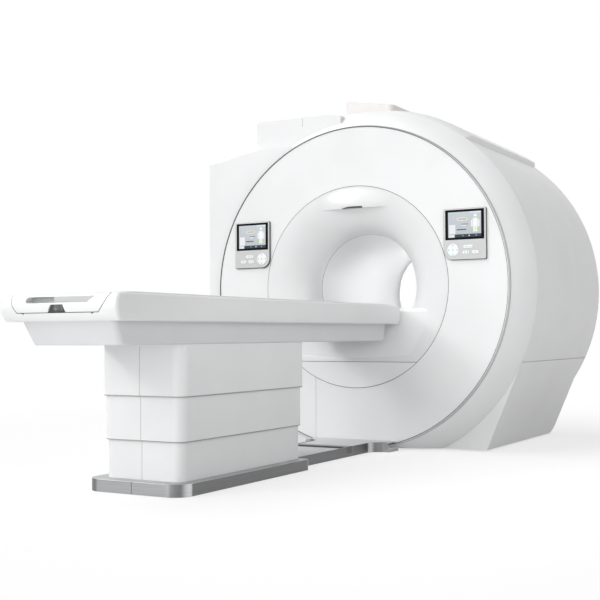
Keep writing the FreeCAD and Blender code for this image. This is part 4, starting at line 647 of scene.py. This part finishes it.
def lip_window():
    """A dark strip along the lip, pointed at its left end."""
    def place(across, up):
        tall = min(1.0, across * 3.0) ** 0.6
        x, z = between(WINDOW_X, across), between(WINDOW_Z, up * tall)
        return x, brow_y(x, max(z, VISOR_LIP)) - WINDOW_PROUD, z

    mesh = sheet(24, 3, place)
    shift(mesh, (0, WINDOW_DEEP, 0), extruded(mesh))
    face_outwards(mesh)
    stand_in("visor_window", mesh, "visor_lamp", LATCH_DARK)
    print("window from", *WINDOW_X)


lip_window()

# %% [markdown]
# ## The control panels
#
# Two panels sit on the front, one each side of the bore: a silver housing, a touch screen and
# a pad with three keys. The screen is a sheet of black glass. Its display is drawn in the
# material, as masks of flat shapes, because it is light and not relief. Both screens show the
# same picture, not its mirror image.

# %% Housings
def silver_with_painted_shade(name):
    """Silver paint: a paler front, an outline with painted shade, darker as it faces down."""
    f = Finish(name, Metallic=0.35)
    front = (0 - f.facing(1)).rise(0.8, 0.98)
    grain = f.noise(1.0, 3.0, f.stretched(60.0, 60.0, 1400.0))
    face = f.blend(grain, (0.47, 0.47, 0.475), (0.55, 0.55, 0.555))
    # painted shade: the outline is darker the more it faces down and lighter facing up
    painted_shade_outline = f.blend(f.facing(2).rise(-0.5, 0.6), (0.035, 0.035, 0.037), (0.33, 0.33, 0.335))
    f.set("Base Color", f.blend(front, painted_shade_outline, face))
    f.set("Roughness", 0.34 + grain * 0.12)
    f.relief(grain, 0.00001)
    return f.material


PANEL_SILVER = silver_with_painted_shade("panel_silver")
print("housings in", PANEL_SILVER.name)

# %% A broad round along each housing's outline
PANEL_ROUND = 0.005
PANEL_DEEP = 0.010  # the outer walls are deeper than this, and the wells are not


def panel_rim(mesh):
    """Rounds the edges between the front and the outer walls."""
    mesh.normal_update()
    edges = []
    for e in folds(mesh):
        front, wall = sorted(e.link_faces, key=lambda f: f.normal.y)
        depths = [v.co.y for v in wall.verts]
        deep = max(depths) - min(depths) > PANEL_DEEP
        if front.normal.y < -0.9 and abs(wall.normal.y) < 0.3 and deep:
            edges.append(e)
    bevel(mesh, edges, PANEL_ROUND, 4)
    print("  outline:", len(edges), "edges")


for side in SIDES:
    rounded("panel_housing" + side, 0.0006, 2, PANEL_SILVER, panel_rim)


# %% The display
GLASS_MARGIN = 0.075  # black border, as a share of the glass


def rectangle(u, v, left, low, right, high, soft=0.006):
    """1 inside a rectangle, read from two coordinates."""
    across = abs(u - (left + right) / 2) - (right - left) / 2
    along = abs(v - (low + high) / 2) - (high - low) / 2
    return 1 - across.most(along).rise(-soft, soft)


def dot(u, v, middle_u, middle_v, radius, stretch=1.0, soft=0.006):
    """1 inside an ellipse."""
    du, dv = u - middle_u, (v - middle_v) * stretch
    return 1 - (du * du + dv * dv).root().rise(radius - soft, radius + soft)


def display(name, low, high):
    """Black glass with a lit display, drawn over the box of one screen."""
    f = Finish(name, Specular_IOR_Level=0.03, Emission_Strength=1.0)
    inner = 1 - 2 * GLASS_MARGIN
    u = ((f.along("X") - low.x) / (high.x - low.x) - GLASS_MARGIN) / inner
    v = ((f.along("Z") - low.z) / (high.z - low.z) - GLASS_MARGIN) / inner
    cloud = f.noise(9.0, 2.0)
    white = (0.97, 0.97, 0.97)
    picture = f.blend(v, (0.50, 0.545, 0.565), (0.60, 0.65, 0.68))
    picture = f.blend(cloud * 0.3, picture, (0.66, 0.69, 0.72))

    def box(*corners):
        return rectangle(u, v, *corners)

    def spot(*sizes):
        return dot(u, v, *sizes)

    shapes = [
        (box(0.66, 0.93, 1.0, 1.0), (0.72, 0.80, 0.88)),
        (box(0.05, 0.60, 0.22, 0.90), (0.48, 0.52, 0.55)),
        (box(0.06, 0.61, 0.21, 0.89), (0.60, 0.64, 0.67)),
        (box(0.11, 0.61, 0.12, 0.89), (0.45, 0.49, 0.52)),
        (box(0.03, 0.14, 0.22, 0.50), (0.86, 0.87, 0.92)),
        (spot(0.43, 0.71, 0.16, 2.6, 0.05) * 0.8, (0.90, 0.90, 0.88)),
        (box(0.32, 0.69, 0.55, 0.735, 0.01) * 0.9, (0.52, 0.30, 0.11)),
        (box(0.41, 0.495, 0.61, 0.53, 0.01) * 0.8, (0.14, 0.19, 0.24)),
        (box(0.41, 0.445, 0.54, 0.48, 0.01) * 0.8, (0.90, 0.91, 0.93)),
        (box(0.26, 0.28, 0.55, 0.32, 0.01) * 0.95, (0.05, 0.08, 0.13)),
        (spot(0.825, 0.835, 0.045, 0.8), white),
        (box(0.755, 0.42, 0.895, 0.73, 0.02), white),
        *((box(x, 0.40, x + 0.04, 0.66, 0.02), (0.93, 0.94, 0.94)) for x in (0.70, 0.91)),
        *((box(x, 0.20, x + 0.05, 0.45, 0.02), white) for x in (0.765, 0.835)),
        (spot(0.72, 0.31, 0.032), (0.45, 0.72, 0.18)),
        (spot(0.90, 0.31, 0.040), (0.50, 0.75, 0.25)),
        (spot(0.89, 0.80, 0.028) * 0.7, (0.55, 0.75, 0.35)),
        (box(0.20, -0.02, 1.02, 0.12), (0.05, 0.07, 0.09)),
        (box(0.02, 0.0, 0.19, 0.11), (0.80, 0.82, 0.85)),
        (spot(0.45, 0.06, 0.020), (0.40, 0.44, 0.48)),
        (spot(0.64, 0.06, 0.022), (0.85, 0.87, 0.90)),
        (spot(0.85, 0.06, 0.020), (0.50, 0.54, 0.58)),
    ]
    for mask, colour in shapes:
        picture = f.blend(mask, picture, colour)
    lit = box(0.0, 0.0, 1.0, 1.0, 0.004)
    f.set("Emission Color", f.blend(lit, (0.0, 0.0, 0.0), picture))
    f.set("Base Color", f.blend(cloud, (0.006, 0.006, 0.007), (0.010, 0.010, 0.011)))
    f.set("Roughness", 0.12 + f.noise(30.0, 4.0).rise(0.5, 0.8) * 0.1)
    print(name, "has", len(shapes), "shapes")
    return f.material


# %% The sheet of glass
GLASS_CORNER = 0.003
GLASS_EDGE = 0.0006


def block(low, high):
    """A bmesh of the box between two corners."""
    mesh = bmesh.new()
    bmesh.ops.create_cube(mesh, size=1.0)
    bmesh.ops.scale(mesh, vec=high - low, verts=mesh.verts)
    shift(mesh, (low + high) / 2)
    return mesh


def deep_edges(mesh):
    """The edges that run from front to back."""
    return [e for e in mesh.edges if abs(e.verts[0].co.y - e.verts[1].co.y) > 0.001]


for side in SIDES:
    node = "screen" + side
    low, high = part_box(node)
    mesh = block(low, high)
    bevel(mesh, deep_edges(mesh), GLASS_CORNER, 5)
    round_edges(mesh, GLASS_EDGE, 2, math.radians(60))
    stand_in("glass" + side, mesh, node, display("display" + side, low, high))

# %% [markdown]
# ## Pad and keys
#
# The pad is a white disc with a shallow dish, pressed at its rim in four directions, with a
# fifth mark in the middle. One spin of half its profile makes it. The keys are low caps whose
# tops are slightly crowned. Their marks are printed in teal.

# %% Printed tops, and the pad
TEAL = (0.16, 0.55, 0.50)
PAD_MARKS = [(0, 0, 0.005, 0.0032), (-0.028, 0, 0.004, 0.0036), (0.028, 0, 0.004, 0.0036),
             (0, 0.028, 0.0036, 0.003), (0, -0.028, 0.0036, 0.004)]


def printed(name, middle, marks):
    """White soft plastic with small teal marks at places round its middle."""
    f = Finish(name, Coat_Weight=0.2, Coat_Roughness=0.3)
    u = f.along("X") - middle.x
    v = f.along("Z") - middle.z
    ink = 0.0
    for du, dv, half_width, half_height in marks:
        mark = rectangle(u, v, du - half_width, dv - half_height, du + half_width,
                         dv + half_height, 0.0008)
        ink = mark.most(ink)
    worn = f.noise(160.0, 3.0).rise(0.3, 0.5) * 0.3 + 0.7
    tone = f.blend(f.noise(60.0, 2.0), (0.84, 0.845, 0.85), (0.88, 0.885, 0.89))
    f.set("Base Color", f.blend(ink * worn, tone, TEAL))
    f.set("Roughness", 0.42 + f.noise(900.0, 2.0) * 0.1)
    f.relief(f.noise(1800.0, 2.0), 0.00002)
    return f.material


def spun(mesh, steps):
    """Spins what there is once round the Y axis."""
    bmesh.ops.spin(mesh, geom=mesh.verts[:] + mesh.edges[:], cent=(0, 0, 0), axis=(0, 1, 0),
                   angle=2 * math.pi, steps=steps, use_merge=True)
    weld(mesh)


for side in SIDES:
    node = "direction_pad" + side
    low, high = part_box(node)
    middle = (low + high) / 2
    radius = (high.x - low.x) / 2
    profile = [(0.0, 0.0012), (0.35, 0.0009), (0.62, 0.0004), (0.80, 0.0), (0.90, 0.0001),
               (0.97, 0.0006), (1.0, 0.0018), (1.0, high.y - low.y)]
    mesh = bmesh.new()
    points = [mesh.verts.new((share * radius, low.y + y, 0)) for share, y in profile]
    for first, second in zip(points, points[1:]):
        mesh.edges.new((first, second))
    spun(mesh, 64)
    bmesh.ops.holes_fill(mesh, edges=[e for e in mesh.edges if e.is_boundary])
    face_outwards(mesh)
    shift(mesh, (middle.x, 0, middle.z))
    print("pad" + side, len(mesh.faces), "faces")
    stand_in("pad" + side, mesh, node, printed("pad_print" + side, middle, PAD_MARKS))

# %% The keys
KEY_MARKS = {
    "upper_key": [(-0.012, 0, 0.003, 0.003), (0.0, 0, 0.004, 0.0022), (0.014, 0, 0.003, 0.003)],
    "near_key": [(-0.008, 0, 0.004, 0.0035), (0.009, 0, 0.003, 0.0035)],
    "far_key": [(-0.003, 0, 0.008, 0.0018)],
}
KEY_CORNER = 0.004
KEY_BORDER = 0.0028  # width of the border
KEY_CROWN = 0.0006  # how far the border slopes down
KEY_EDGE = 0.0005


def key_cap(name, side):
    """A cap with a flat top inside a border that slopes down."""
    node = name + side
    low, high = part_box(node)
    mesh = block(low, high)
    bevel(mesh, deep_edges(mesh), KEY_CORNER, 5)
    face = [f for f in mesh.faces if f.normal.y < -0.9]
    bmesh.ops.inset_region(mesh, faces=face, thickness=KEY_BORDER, depth=0.0)
    top = {v for f in face for v in f.verts}
    for v in mesh.verts:
        if v not in top and abs(v.co.y - low.y) < WELD:
            v.co.y = low.y + KEY_CROWN
    round_edges(mesh, KEY_EDGE, 2, math.radians(50))
    finish = printed("print_" + node, (low + high) / 2, KEY_MARKS[name])
    stand_in("cap_" + node, mesh, node, finish)


for name in KEY_MARKS:
    for side in SIDES:
        key_cap(name, side)
print("key caps:", len(SIDES) * len(KEY_MARKS))

# %% [markdown]
# ## Rubber wipers on the pedestal
#
# The pedestal's three shells slide into each other like a telescope. The outer two have a
# soft rubber lip along the lower edge that keeps dust and fingers out of the gap. It is taken
# from the shell's own foot: the level faces are copied and extruded down by the lip's height.

# %% Lips under the shells
# the lips' grey is partly the rubber's own and partly painted shade under each shell's edge
LIP_HEIGHT = 0.0034
LIP_PLAY = 0.0002


def wiper(shell, side, body):
    """A rubber strip under the lower edge of one half shell."""
    node = shell + side
    mesh = welded(node)
    low = min(v.co.z for v in mesh.verts)
    others = [f for f in mesh.faces if f.calc_center_median().z > low + WELD]
    bmesh.ops.delete(mesh, geom=others, context="FACES")
    shift(mesh, (0, 0, -LIP_PLAY))
    shift(mesh, (0, 0, -LIP_HEIGHT), extruded(mesh))
    face_outwards(mesh)
    print("  lip of", len(mesh.faces), "faces under", node)
    piece("wiper_" + node, mesh, body, WIPER_GREY_AND_SHADE)


for side in SIDES:
    wiper("upper_shell", side, "table")
    wiper("middle_shell", side, "middle_stage")

# %% [markdown]
# ## Beads in the open seams
#
# Covers are fitted with a gap of 1 to 3 millimetres. A dark bead at the bottom of each gap is
# painted shade: it draws the thin grey lines of the seams, because an empty gap between two
# white walls fills with light. Round the flare a small circle is spun round the bore's axis,
# and straight seams take a rounded bar. Where a seam wanders over a curved cover, its line is
# read from the edges of the solid, and a thin round is swept along it.

# %% Ring and bars
SEAM_BEAD = 0.0016
SEAM_DEPTH = 0.0004  # how far the bead stays behind the covers' faces
LINER_LAP = 0.0007  # how far the liner's bead lies outside the bore
MOUTH_SEAM_HEIGHT = AXIS - 0.475
MOUTH_SEAM_HALF = 0.426
MOUTH_SEAM_BEAD = (0.003, 0.0014)  # how deep it reaches, and half its height


def seam_ring(name, radius, y):
    """A round bead spun round the bore's axis."""
    mesh = bmesh.new()
    bmesh.ops.create_circle(mesh, segments=10, radius=SEAM_BEAD)
    shift(mesh, (radius, y, 0))
    spun(mesh, 180)
    face_outwards(mesh)
    shift(mesh, (0, 0, AXIS))
    piece(name, mesh, "scanner", SEAM_SHADE_DARK)


def seam_bar(name, low, high, body="scanner", finish=SEAM_SHADE_DARK):
    """A straight bead between two corners of its box, with all its edges rounded."""
    low, high = Vector(low), Vector(high)
    mesh = block(low, high)
    bevel(mesh, mesh.edges[:], min(high - low) * 0.3, 2)
    piece(name, mesh, body, finish)


# painted shade: dark beads round the flare's mouth, at the liner and along the level seam
seam_ring("mouth_bead", FLARE_MOUTH, FRONT + SEAM_BEAD + SEAM_DEPTH)
seam_ring("liner_bead", BORE_RADIUS + LINER_LAP, FRONT + FLARE_DEPTH)
deep, half = MOUTH_SEAM_BEAD
seam_bar("mouth_bead_level", (-MOUTH_SEAM_HALF, FRONT + SEAM_DEPTH, MOUTH_SEAM_HEIGHT - half),
         (MOUTH_SEAM_HALF, FRONT + deep, MOUTH_SEAM_HEIGHT + half))
print("mouth beads at radius", FLARE_MOUTH, "and height", round(MOUTH_SEAM_HEIGHT, 3))

# %% Seams down both ends of the pedestal
BEAD_WIDTH = 0.0026
BEAD_SHORT = 0.001  # how far a bead ends inside its seam
BEAD_TOP = 0.008  # and below the top of a shell, which slides under the next
JOINT_HALF = 0.0016  # half the width of the joint in the trim
JOINT_PROUD = 0.0002
JOINT_DEEP = 0.002
# painted shade: dark bars down the shells' seams stand in for the shade in the gaps
for shell in SHELLS:
    low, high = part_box(shell + "_right")
    for end, y in (("foot", low.y + SEAM_DEPTH), ("back", high.y - SEAM_DEPTH - BEAD_WIDTH)):
        seam_bar(f"seam_{shell}_{end}", (-BEAD_WIDTH / 2, y, low.z + BEAD_SHORT),
                 (BEAD_WIDTH / 2, y + BEAD_WIDTH, high.z - BEAD_TOP),
                 nodes[shell + "_right"]["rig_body"])
# painted shade: a dark bar in the joint of the trim
low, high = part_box("base_trim_right")
seam_bar("trim_joint", (-JOINT_HALF, low.y - JOINT_PROUD, low.z + BEAD_SHORT),
         (JOINT_HALF, low.y + JOINT_DEEP, high.z - BEAD_SHORT),
         nodes["base_trim_right"]["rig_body"])
print("pedestal seams:", 2 * len(SHELLS), "and the joint in the trim")

# %% The joint in the front of the shoulder cover
TURRET_FACE = -0.76
TURRET_JOINT_X = (-0.4045, -0.4015)
TURRET_JOINT_Z = (2.087, 2.146)
low, high = zip(TURRET_JOINT_X, (TURRET_FACE - JOINT_PROUD, TURRET_FACE + JOINT_DEEP),
                TURRET_JOINT_Z)
# painted shade: a grey bar stands in for the shade in the shoulder cover's joint
seam_bar("turret_joint", low, high, finish=WIPER_GREY_AND_SHADE)
print("turret joint at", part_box("turret_cover")[0].y)

# %% [markdown]
# ## The end cap and its shadow gap
#
# The cap at the foot end sits in the table's rim with a shadow gap of 3 millimetres on its
# lower and its curved sides, the darkest line on the table. The cap's walls there are drawn in
# a little, which opens the gap, and a dark round swept along its bottom is painted shade.

# %% Which edges run along the gap
CAP_FLOOR = 0.8130  # height of the cap's lower seam
CAP_HALF = 0.222  # half the length of that seam
CAP_GAP = 0.0008  # the solid's own gap
CAP_OPENED = 0.0024  # how much wider it gets
CAP_BEAD = 0.0019


def gap_edges(mesh):
    """The cap's outer edges: each with the wall in the gap and the skin that it meets."""
    mesh.normal_update()
    found = []
    for e in folds(mesh):
        middle = (e.verts[0].co + e.verts[1].co) / 2
        for wall, skin in (e.link_faces, reversed(e.link_faces)):
            below = wall.normal.z < -0.9 and middle.z < CAP_FLOOR + 0.001
            beside = wall.normal.x * middle.x > 0 and abs(middle.x) > CAP_HALF - 0.002
            upright = abs(wall.normal.y) < 0.05 and (below or beside and wall.normal.z < 0.5)
            if upright and (skin.normal.y < -0.05 or skin.normal.z > 0.5):
                found.append((e, wall, skin))
                break
    return found


def open_gap(mesh):
    """Draws the walls in the gap back, each corner along the mean of its walls."""
    pulls = {}
    for _, wall, _ in gap_edges(mesh):
        for v in wall.verts:
            pulls.setdefault(v, set()).add(wall)
    for v, walls in pulls.items():
        v.co -= sum((w.normal for w in walls), Vector()).normalized() * CAP_OPENED
    print("gap opened along", len(pulls), "corners")


rounded("foot_cap", 0.0011, 2, shape=open_gap)


# %% The dark round in the gap
def lines_of(edges):
    """Puts edges end to end. Gives lines of places, and whether each one is closed."""
    left = sorted(edges, key=lambda e: e.index)
    lines = []
    while left:
        ends = [v for e in left for v in e.verts if sum(o in left for o in v.link_edges) == 1]
        here = ends[0] if ends else left[0].verts[0]
        line = [here]
        while onward := [e for e in here.link_edges if e in left]:
            left.remove(onward[0])
            here = onward[0].other_vert(here)
            line.append(here)
        closed = line[0] is line[-1]
        lines.append((line[:-1] if closed else line, closed))
    return lines


def swept(name, places, closed, radius, body):
    """A thin round swept along a line of places."""
    curve = bpy.data.curves.new(name, "CURVE")
    curve.dimensions = "3D"
    curve.bevel_depth = radius
    curve.bevel_resolution = 1
    curve.use_fill_caps = True
    spline = curve.splines.new("POLY")
    spline.points.add(len(places) - 1)
    for point, place in zip(spline.points, places):
        point.co = (*place, 1.0)
    spline.use_cyclic_u = closed
    guide = bpy.data.objects.new(name + "_guide", curve)
    mesh = bmesh.new()
    mesh.from_mesh(bpy.data.meshes.new_from_object(guide))
    bpy.data.objects.remove(guide)
    weld(mesh)
    face_outwards(mesh)
    piece(name, mesh, body, SEAM_SHADE_DARK)


# painted shade: a dark round along the bottom of the cap's gap
mesh = welded("foot_cap")
mesh.edges.index_update()
across, ahead = {}, {}
chosen = gap_edges(mesh)
for e, wall, skin in chosen:
    for v in e.verts:
        across[v] = across.get(v, Vector()) + wall.normal
        ahead[v] = ahead.get(v, Vector()) + skin.normal
lines = [found for found in lines_of([e for e, _, _ in chosen]) if len(found[0]) > 2]
for number, (line, closed) in enumerate(lines):
    places = [v.co + across[v].normalized() * (CAP_GAP - CAP_OPENED) / 2
              - ahead[v].normalized() * CAP_BEAD for v in line]
    swept(f"cap_bead_{number}", places, closed, CAP_BEAD, "table")
mesh.free()
print("cap seam:", len(chosen), "edges,", len(lines), "beads")

# %% Round the foot of each panel
PANEL_BEAD = 0.0016
PANEL_CUT = 0.002  # how far before the front panel a cut through the housing gives its outline
# painted shadow: a dark round along each housing's foot stands in for the shade of the gap round
# it
for side in SIDES:
    mesh = welded("panel_housing" + side)
    cut = bmesh.ops.bisect_plane(mesh, geom=mesh.verts[:] + mesh.edges[:] + mesh.faces[:],
                                 dist=WELD, plane_co=(0, FRONT - PANEL_CUT, 0),
                                 plane_no=(0, 1, 0))
    edges = [e for e in cut["geom_cut"] if isinstance(e, bmesh.types.BMEdge)]
    mesh.edges.index_update()
    line, closed = max(lines_of(edges), key=lambda found: len(found[0]))
    places = [Vector((v.co.x, FRONT - PANEL_BEAD * 0.4, v.co.z)) for v in line]
    swept("panel_bead" + side, places, closed, PANEL_BEAD, "scanner")
    print("panel bead", side, len(places), "places, closed:", closed)
    mesh.free()

# %% [markdown]
# ## Closing what the thin covers leave open
#
# The covers are shells 6 millimetres thick. Where a chamfer is deeper than that, or two of
# them only pass over each other, a dark slit would show. The real covers have a return there,
# a moulded flange. Two are made: the chamfer on the cheek's shoulder, and the end of the
# shoulder cover beside the cold head's box.

# %% The chamfer on the cheek's shoulder
CHEEK_FACE = -0.79
CHEEK_SIDE = -1.125
SHOULDER_END = -0.94
SHOULDER_HEIGHT = 1.922
SHOULDER_BEVEL = 0.032
RETURN_WALL = 0.004
mesh = bmesh.new()  # for a thin three-cornered plate, a little behind the chamfer's plane
corners = [mesh.verts.new(c) for c in (
    (SHOULDER_END, CHEEK_FACE, SHOULDER_HEIGHT),
    (CHEEK_SIDE, CHEEK_FACE + SHOULDER_BEVEL, SHOULDER_HEIGHT),
    (CHEEK_SIDE, CHEEK_FACE, SHOULDER_HEIGHT - SHOULDER_BEVEL))]
face = mesh.faces.new(corners)
face.normal_update()
inward = -face.normal * RETURN_WALL
print("chamfer closed, facing", [round(v, 3) for v in face.normal])
shift(mesh, inward * 0.1)
shift(mesh, inward, extruded(mesh))
face_outwards(mesh)
piece("cheek_return", mesh, "scanner", COVER_WHITE)

# %% The end of the shoulder cover
TURRET_END = -0.1215  # X of its end
TURRET_END_TOP = 2.1335
TURRET_RETURN_Y = (TURRET_FACE + 0.001, -0.664)  # from its face to the bezel's crest


def turret_return():
    """A plate between the shoulder cover's end and the sloping bezel under it."""
    slope = bmesh.new()
    slope.from_mesh(nodes["front_bezel"].data)
    bezel = BVHTree.FromBMesh(slope)
    slope.free()

    def place(back, up):
        y = between(TURRET_RETURN_Y, back)
        under = bezel.ray_cast(Vector((TURRET_END, y, 3.0)), Vector((0, 0, -1)))[0]
        foot = min(under.z - 0.002, TURRET_END_TOP - 0.001)
        return TURRET_END, y, TURRET_END_TOP if up else foot

    mesh = sheet(14, 1, place)
    shift(mesh, (-RETURN_WALL, 0, 0), extruded(mesh))
    face_outwards(mesh)
    piece("turret_return", mesh, "scanner", COVER_WHITE)
    print("turret return from", *TURRET_RETURN_Y)


turret_return()

# %% [markdown]
# ## Inlays in the pull grip
#
# The hand hold in the end cap is lined with two inlays of grey plastic that hide the screws: a
# deep one for the fingers, round at its left end, and a shallow slanted one beside it.

# %% Grip inlays
CAP_FOOT = -3.54  # the cap's foremost line
GRIP_LOW = 0.8551
GRIP_HIGH = 0.8809
GRIP_SPLIT = -0.022
GRIP_PLAY = 0.0004
GRIP_WALL = 0.0016


def grip_inlay(name, left, right, floor, slant):
    """A plate on the floor of one pocket: slanted on its right, or else round on its left."""
    low = Vector((left + GRIP_PLAY, floor - GRIP_WALL, GRIP_LOW + GRIP_PLAY))
    high = Vector((right - GRIP_PLAY, floor - 0.0001, GRIP_HIGH - GRIP_PLAY))
    middle = (low + high) / 2
    mesh = block(low, high)
    for v in mesh.verts:
        if v.co.x > 0 and v.co.z < middle.z:
            v.co.x -= slant
    if not slant:
        ends = [e for e in deep_edges(mesh) if e.verts[0].co.x < middle.x]
        bevel(mesh, ends, (high.z - low.z) * 0.49, 8)
    round_edges(mesh, 0.0005, 2, math.radians(60))
    print(name, len(mesh.faces), "faces")
    piece(name, mesh, "table", GRIP_GREY)


grip_inlay("grip_inlay_deep", -0.177, GRIP_SPLIT, CAP_FOOT + 0.05, 0.0)
grip_inlay("grip_inlay_shallow", GRIP_SPLIT, 0.192, CAP_FOOT + 0.014, 0.028)

# %% [markdown]
# ## The floor and the light
#
# The photograph is a cut-out on white, lit from the front left by one soft lamp about 24
# degrees up, with a broad ceiling light and a paler fill from the right. Sun lamps with wide
# discs give that light evenly over the whole length of the scanner. Four soft boxes lift the
# bore and the table's foot. The floor gives back two thirds of what it gets, but the camera
# sees it as nearly white, so the cut-out look stays and the shadow too.

# %% Floor
FLOOR_SIZE = 60.0
FLOOR_TONE = 0.64  # what the floor gives back to the covers
SEEN_WHITE = 0.68  # share of plain white in what the camera sees of it
SHADOW_REACH = (2.6, 6.0)  # from here to there the floor fades to plain white
MIDDLE_Y = 1.2  # how far the scanner's middle lies before the magnet's


def straight_rays(start, *kinds):
    """1 for rays of these kinds, and 0 for all that only light the covers."""
    return sum(start.node("LightPath", out=f"Is {kind} Ray") for kind in kinds).least(1.0)


mesh = bmesh.new()
bmesh.ops.create_grid(mesh, x_segments=1, y_segments=1, size=FLOOR_SIZE / 2)
data = bpy.data.meshes.new("floor")
mesh.to_mesh(data)
mesh.free()
f = Finish("floor_white", Roughness=0.9, Specular_IOR_Level=0.0)
straight = straight_rays(f.start, "Camera", "Glossy")
f.set("Base Color", f.blend(straight, (FLOOR_TONE,) * 3, (1.0, 1.0, 1.0)))
x, y = f.along("X"), f.along("Y") + MIDDLE_Y
far = (x * x + y * y).root().rise(*SHADOW_REACH)
plain = SEEN_WHITE + far * (1.0 - SEEN_WHITE)
white = f.start.node("Emission", (), {"Color": (1, 1, 1, 1), "Strength": 1.0})
mixed = f.start.node("MixShader", (), {0: straight * plain,
                                       1: Wire(f.tree, f.shader.outputs[0]), 2: white})
f.tree.links.new(mixed.socket, f.tree.nodes["Material Output"].inputs["Surface"])
data.materials.append(f.material)
placed("floor", data)
print("floor", FLOOR_SIZE, "m wide, plain white from", SHADOW_REACH[1], "m on")

# %% World and lamps
ROOM_LEVEL = 0.35  # for the covers: where the camera looks at it, the world is plain white
world = bpy.data.worlds.new("room")
bpy.context.scene.world = world
world.use_nodes = True
straight = straight_rays(Wire(world.node_tree), "Camera", "Glossy", "Transmission")
level = ROOM_LEVEL + straight * (1.0 - ROOM_LEVEL)
back = world.node_tree.nodes["Background"]
back.inputs["Color"].default_value = (1, 1, 1, 1)
world.node_tree.links.new(level.socket, back.inputs["Strength"])


def lamp(name, kind, direction, **settings):
    data = bpy.data.lights.new(name, kind)
    for setting, value in settings.items():
        setattr(data, setting, value)
    made = placed(name, data)
    made.rotation_euler = Vector(direction).to_track_quat("-Z", "Y").to_euler()
    return made


def sun(name, direction, strength, disc_degrees):
    lamp(name, "SUN", direction, energy=strength, angle=math.radians(disc_degrees))


def soft_box(name, place, aim, size, power):
    """A square lamp that the camera itself doesn't see."""
    made = lamp(name, "AREA", Vector(aim) - Vector(place), energy=power, size=size)
    made.location = place
    made.visible_camera = False


sun("key_light", (0.584, 0.70, -0.409), 0.56, 16.0)
sun("ceiling_light", (0.5, 0.3, -0.8), 1.78, 60.0)
sun("fill_light", (-0.6, 0.75, -0.1), 0.38, 60.0)
sun("front_light", (-0.1, 0.98, 0.06), 1.05, 60.0)
sun("rear_light", (0.35, -0.93, 0.1), 1.0, 20.0)
soft_box("bore_light", (0.0, 0.62, AXIS), (0.0, 0.0, AXIS), 0.4, 1.3)
soft_box("bore_ceiling", (0.1, -0.1, AXIS - 0.1), (0.0, -0.1, AXIS + 0.3), 0.5, 0.65)
soft_box("table_light", (2.2, -2.6, 1.3), (0.2, -2.2, 0.85), 1.0, 8.6)
soft_box("low_front_light", (0.1, -4.2, 0.2), (0.0, -3.5, 0.75), 0.6, 3.0)
print("room at", ROOM_LEVEL, "with", len(bpy.data.lights), "lamps")

# %% [markdown]
# ## The camera
#
# The camera stands off the table's foot, to the right, at hip height, and looks slightly up
# with a long lens. Its place was worked out from the photograph's own straight edges, so that
# a point of the solids falls on the same pixel.

# %% Camera
def stand_camera(place, yaw, pitch, roll, lens):
    """Angles in radians, the lens in millimetres on a sensor 36 mm wide."""
    data = bpy.data.cameras.new("camera")
    data.lens = lens
    data.sensor_width = 36.0
    camera = placed("camera", data)
    turn = (Matrix.Rotation(yaw, 4, "Z") @ Matrix.Rotation(math.pi / 2 + pitch, 4, "X")
            @ Matrix.Rotation(roll, 4, "Z"))
    camera.matrix_world = Matrix.Translation(place) @ turn
    bpy.context.scene.camera = camera
    print("camera looks along", [round(-v, 3) for v in turn.col[2][:3]])


stand_camera((3.092, -6.902, 0.717), yaw=0.5205, pitch=0.0323, roll=-0.0052, lens=64.56)
bpy.context.scene.view_settings.view_transform = "Standard"
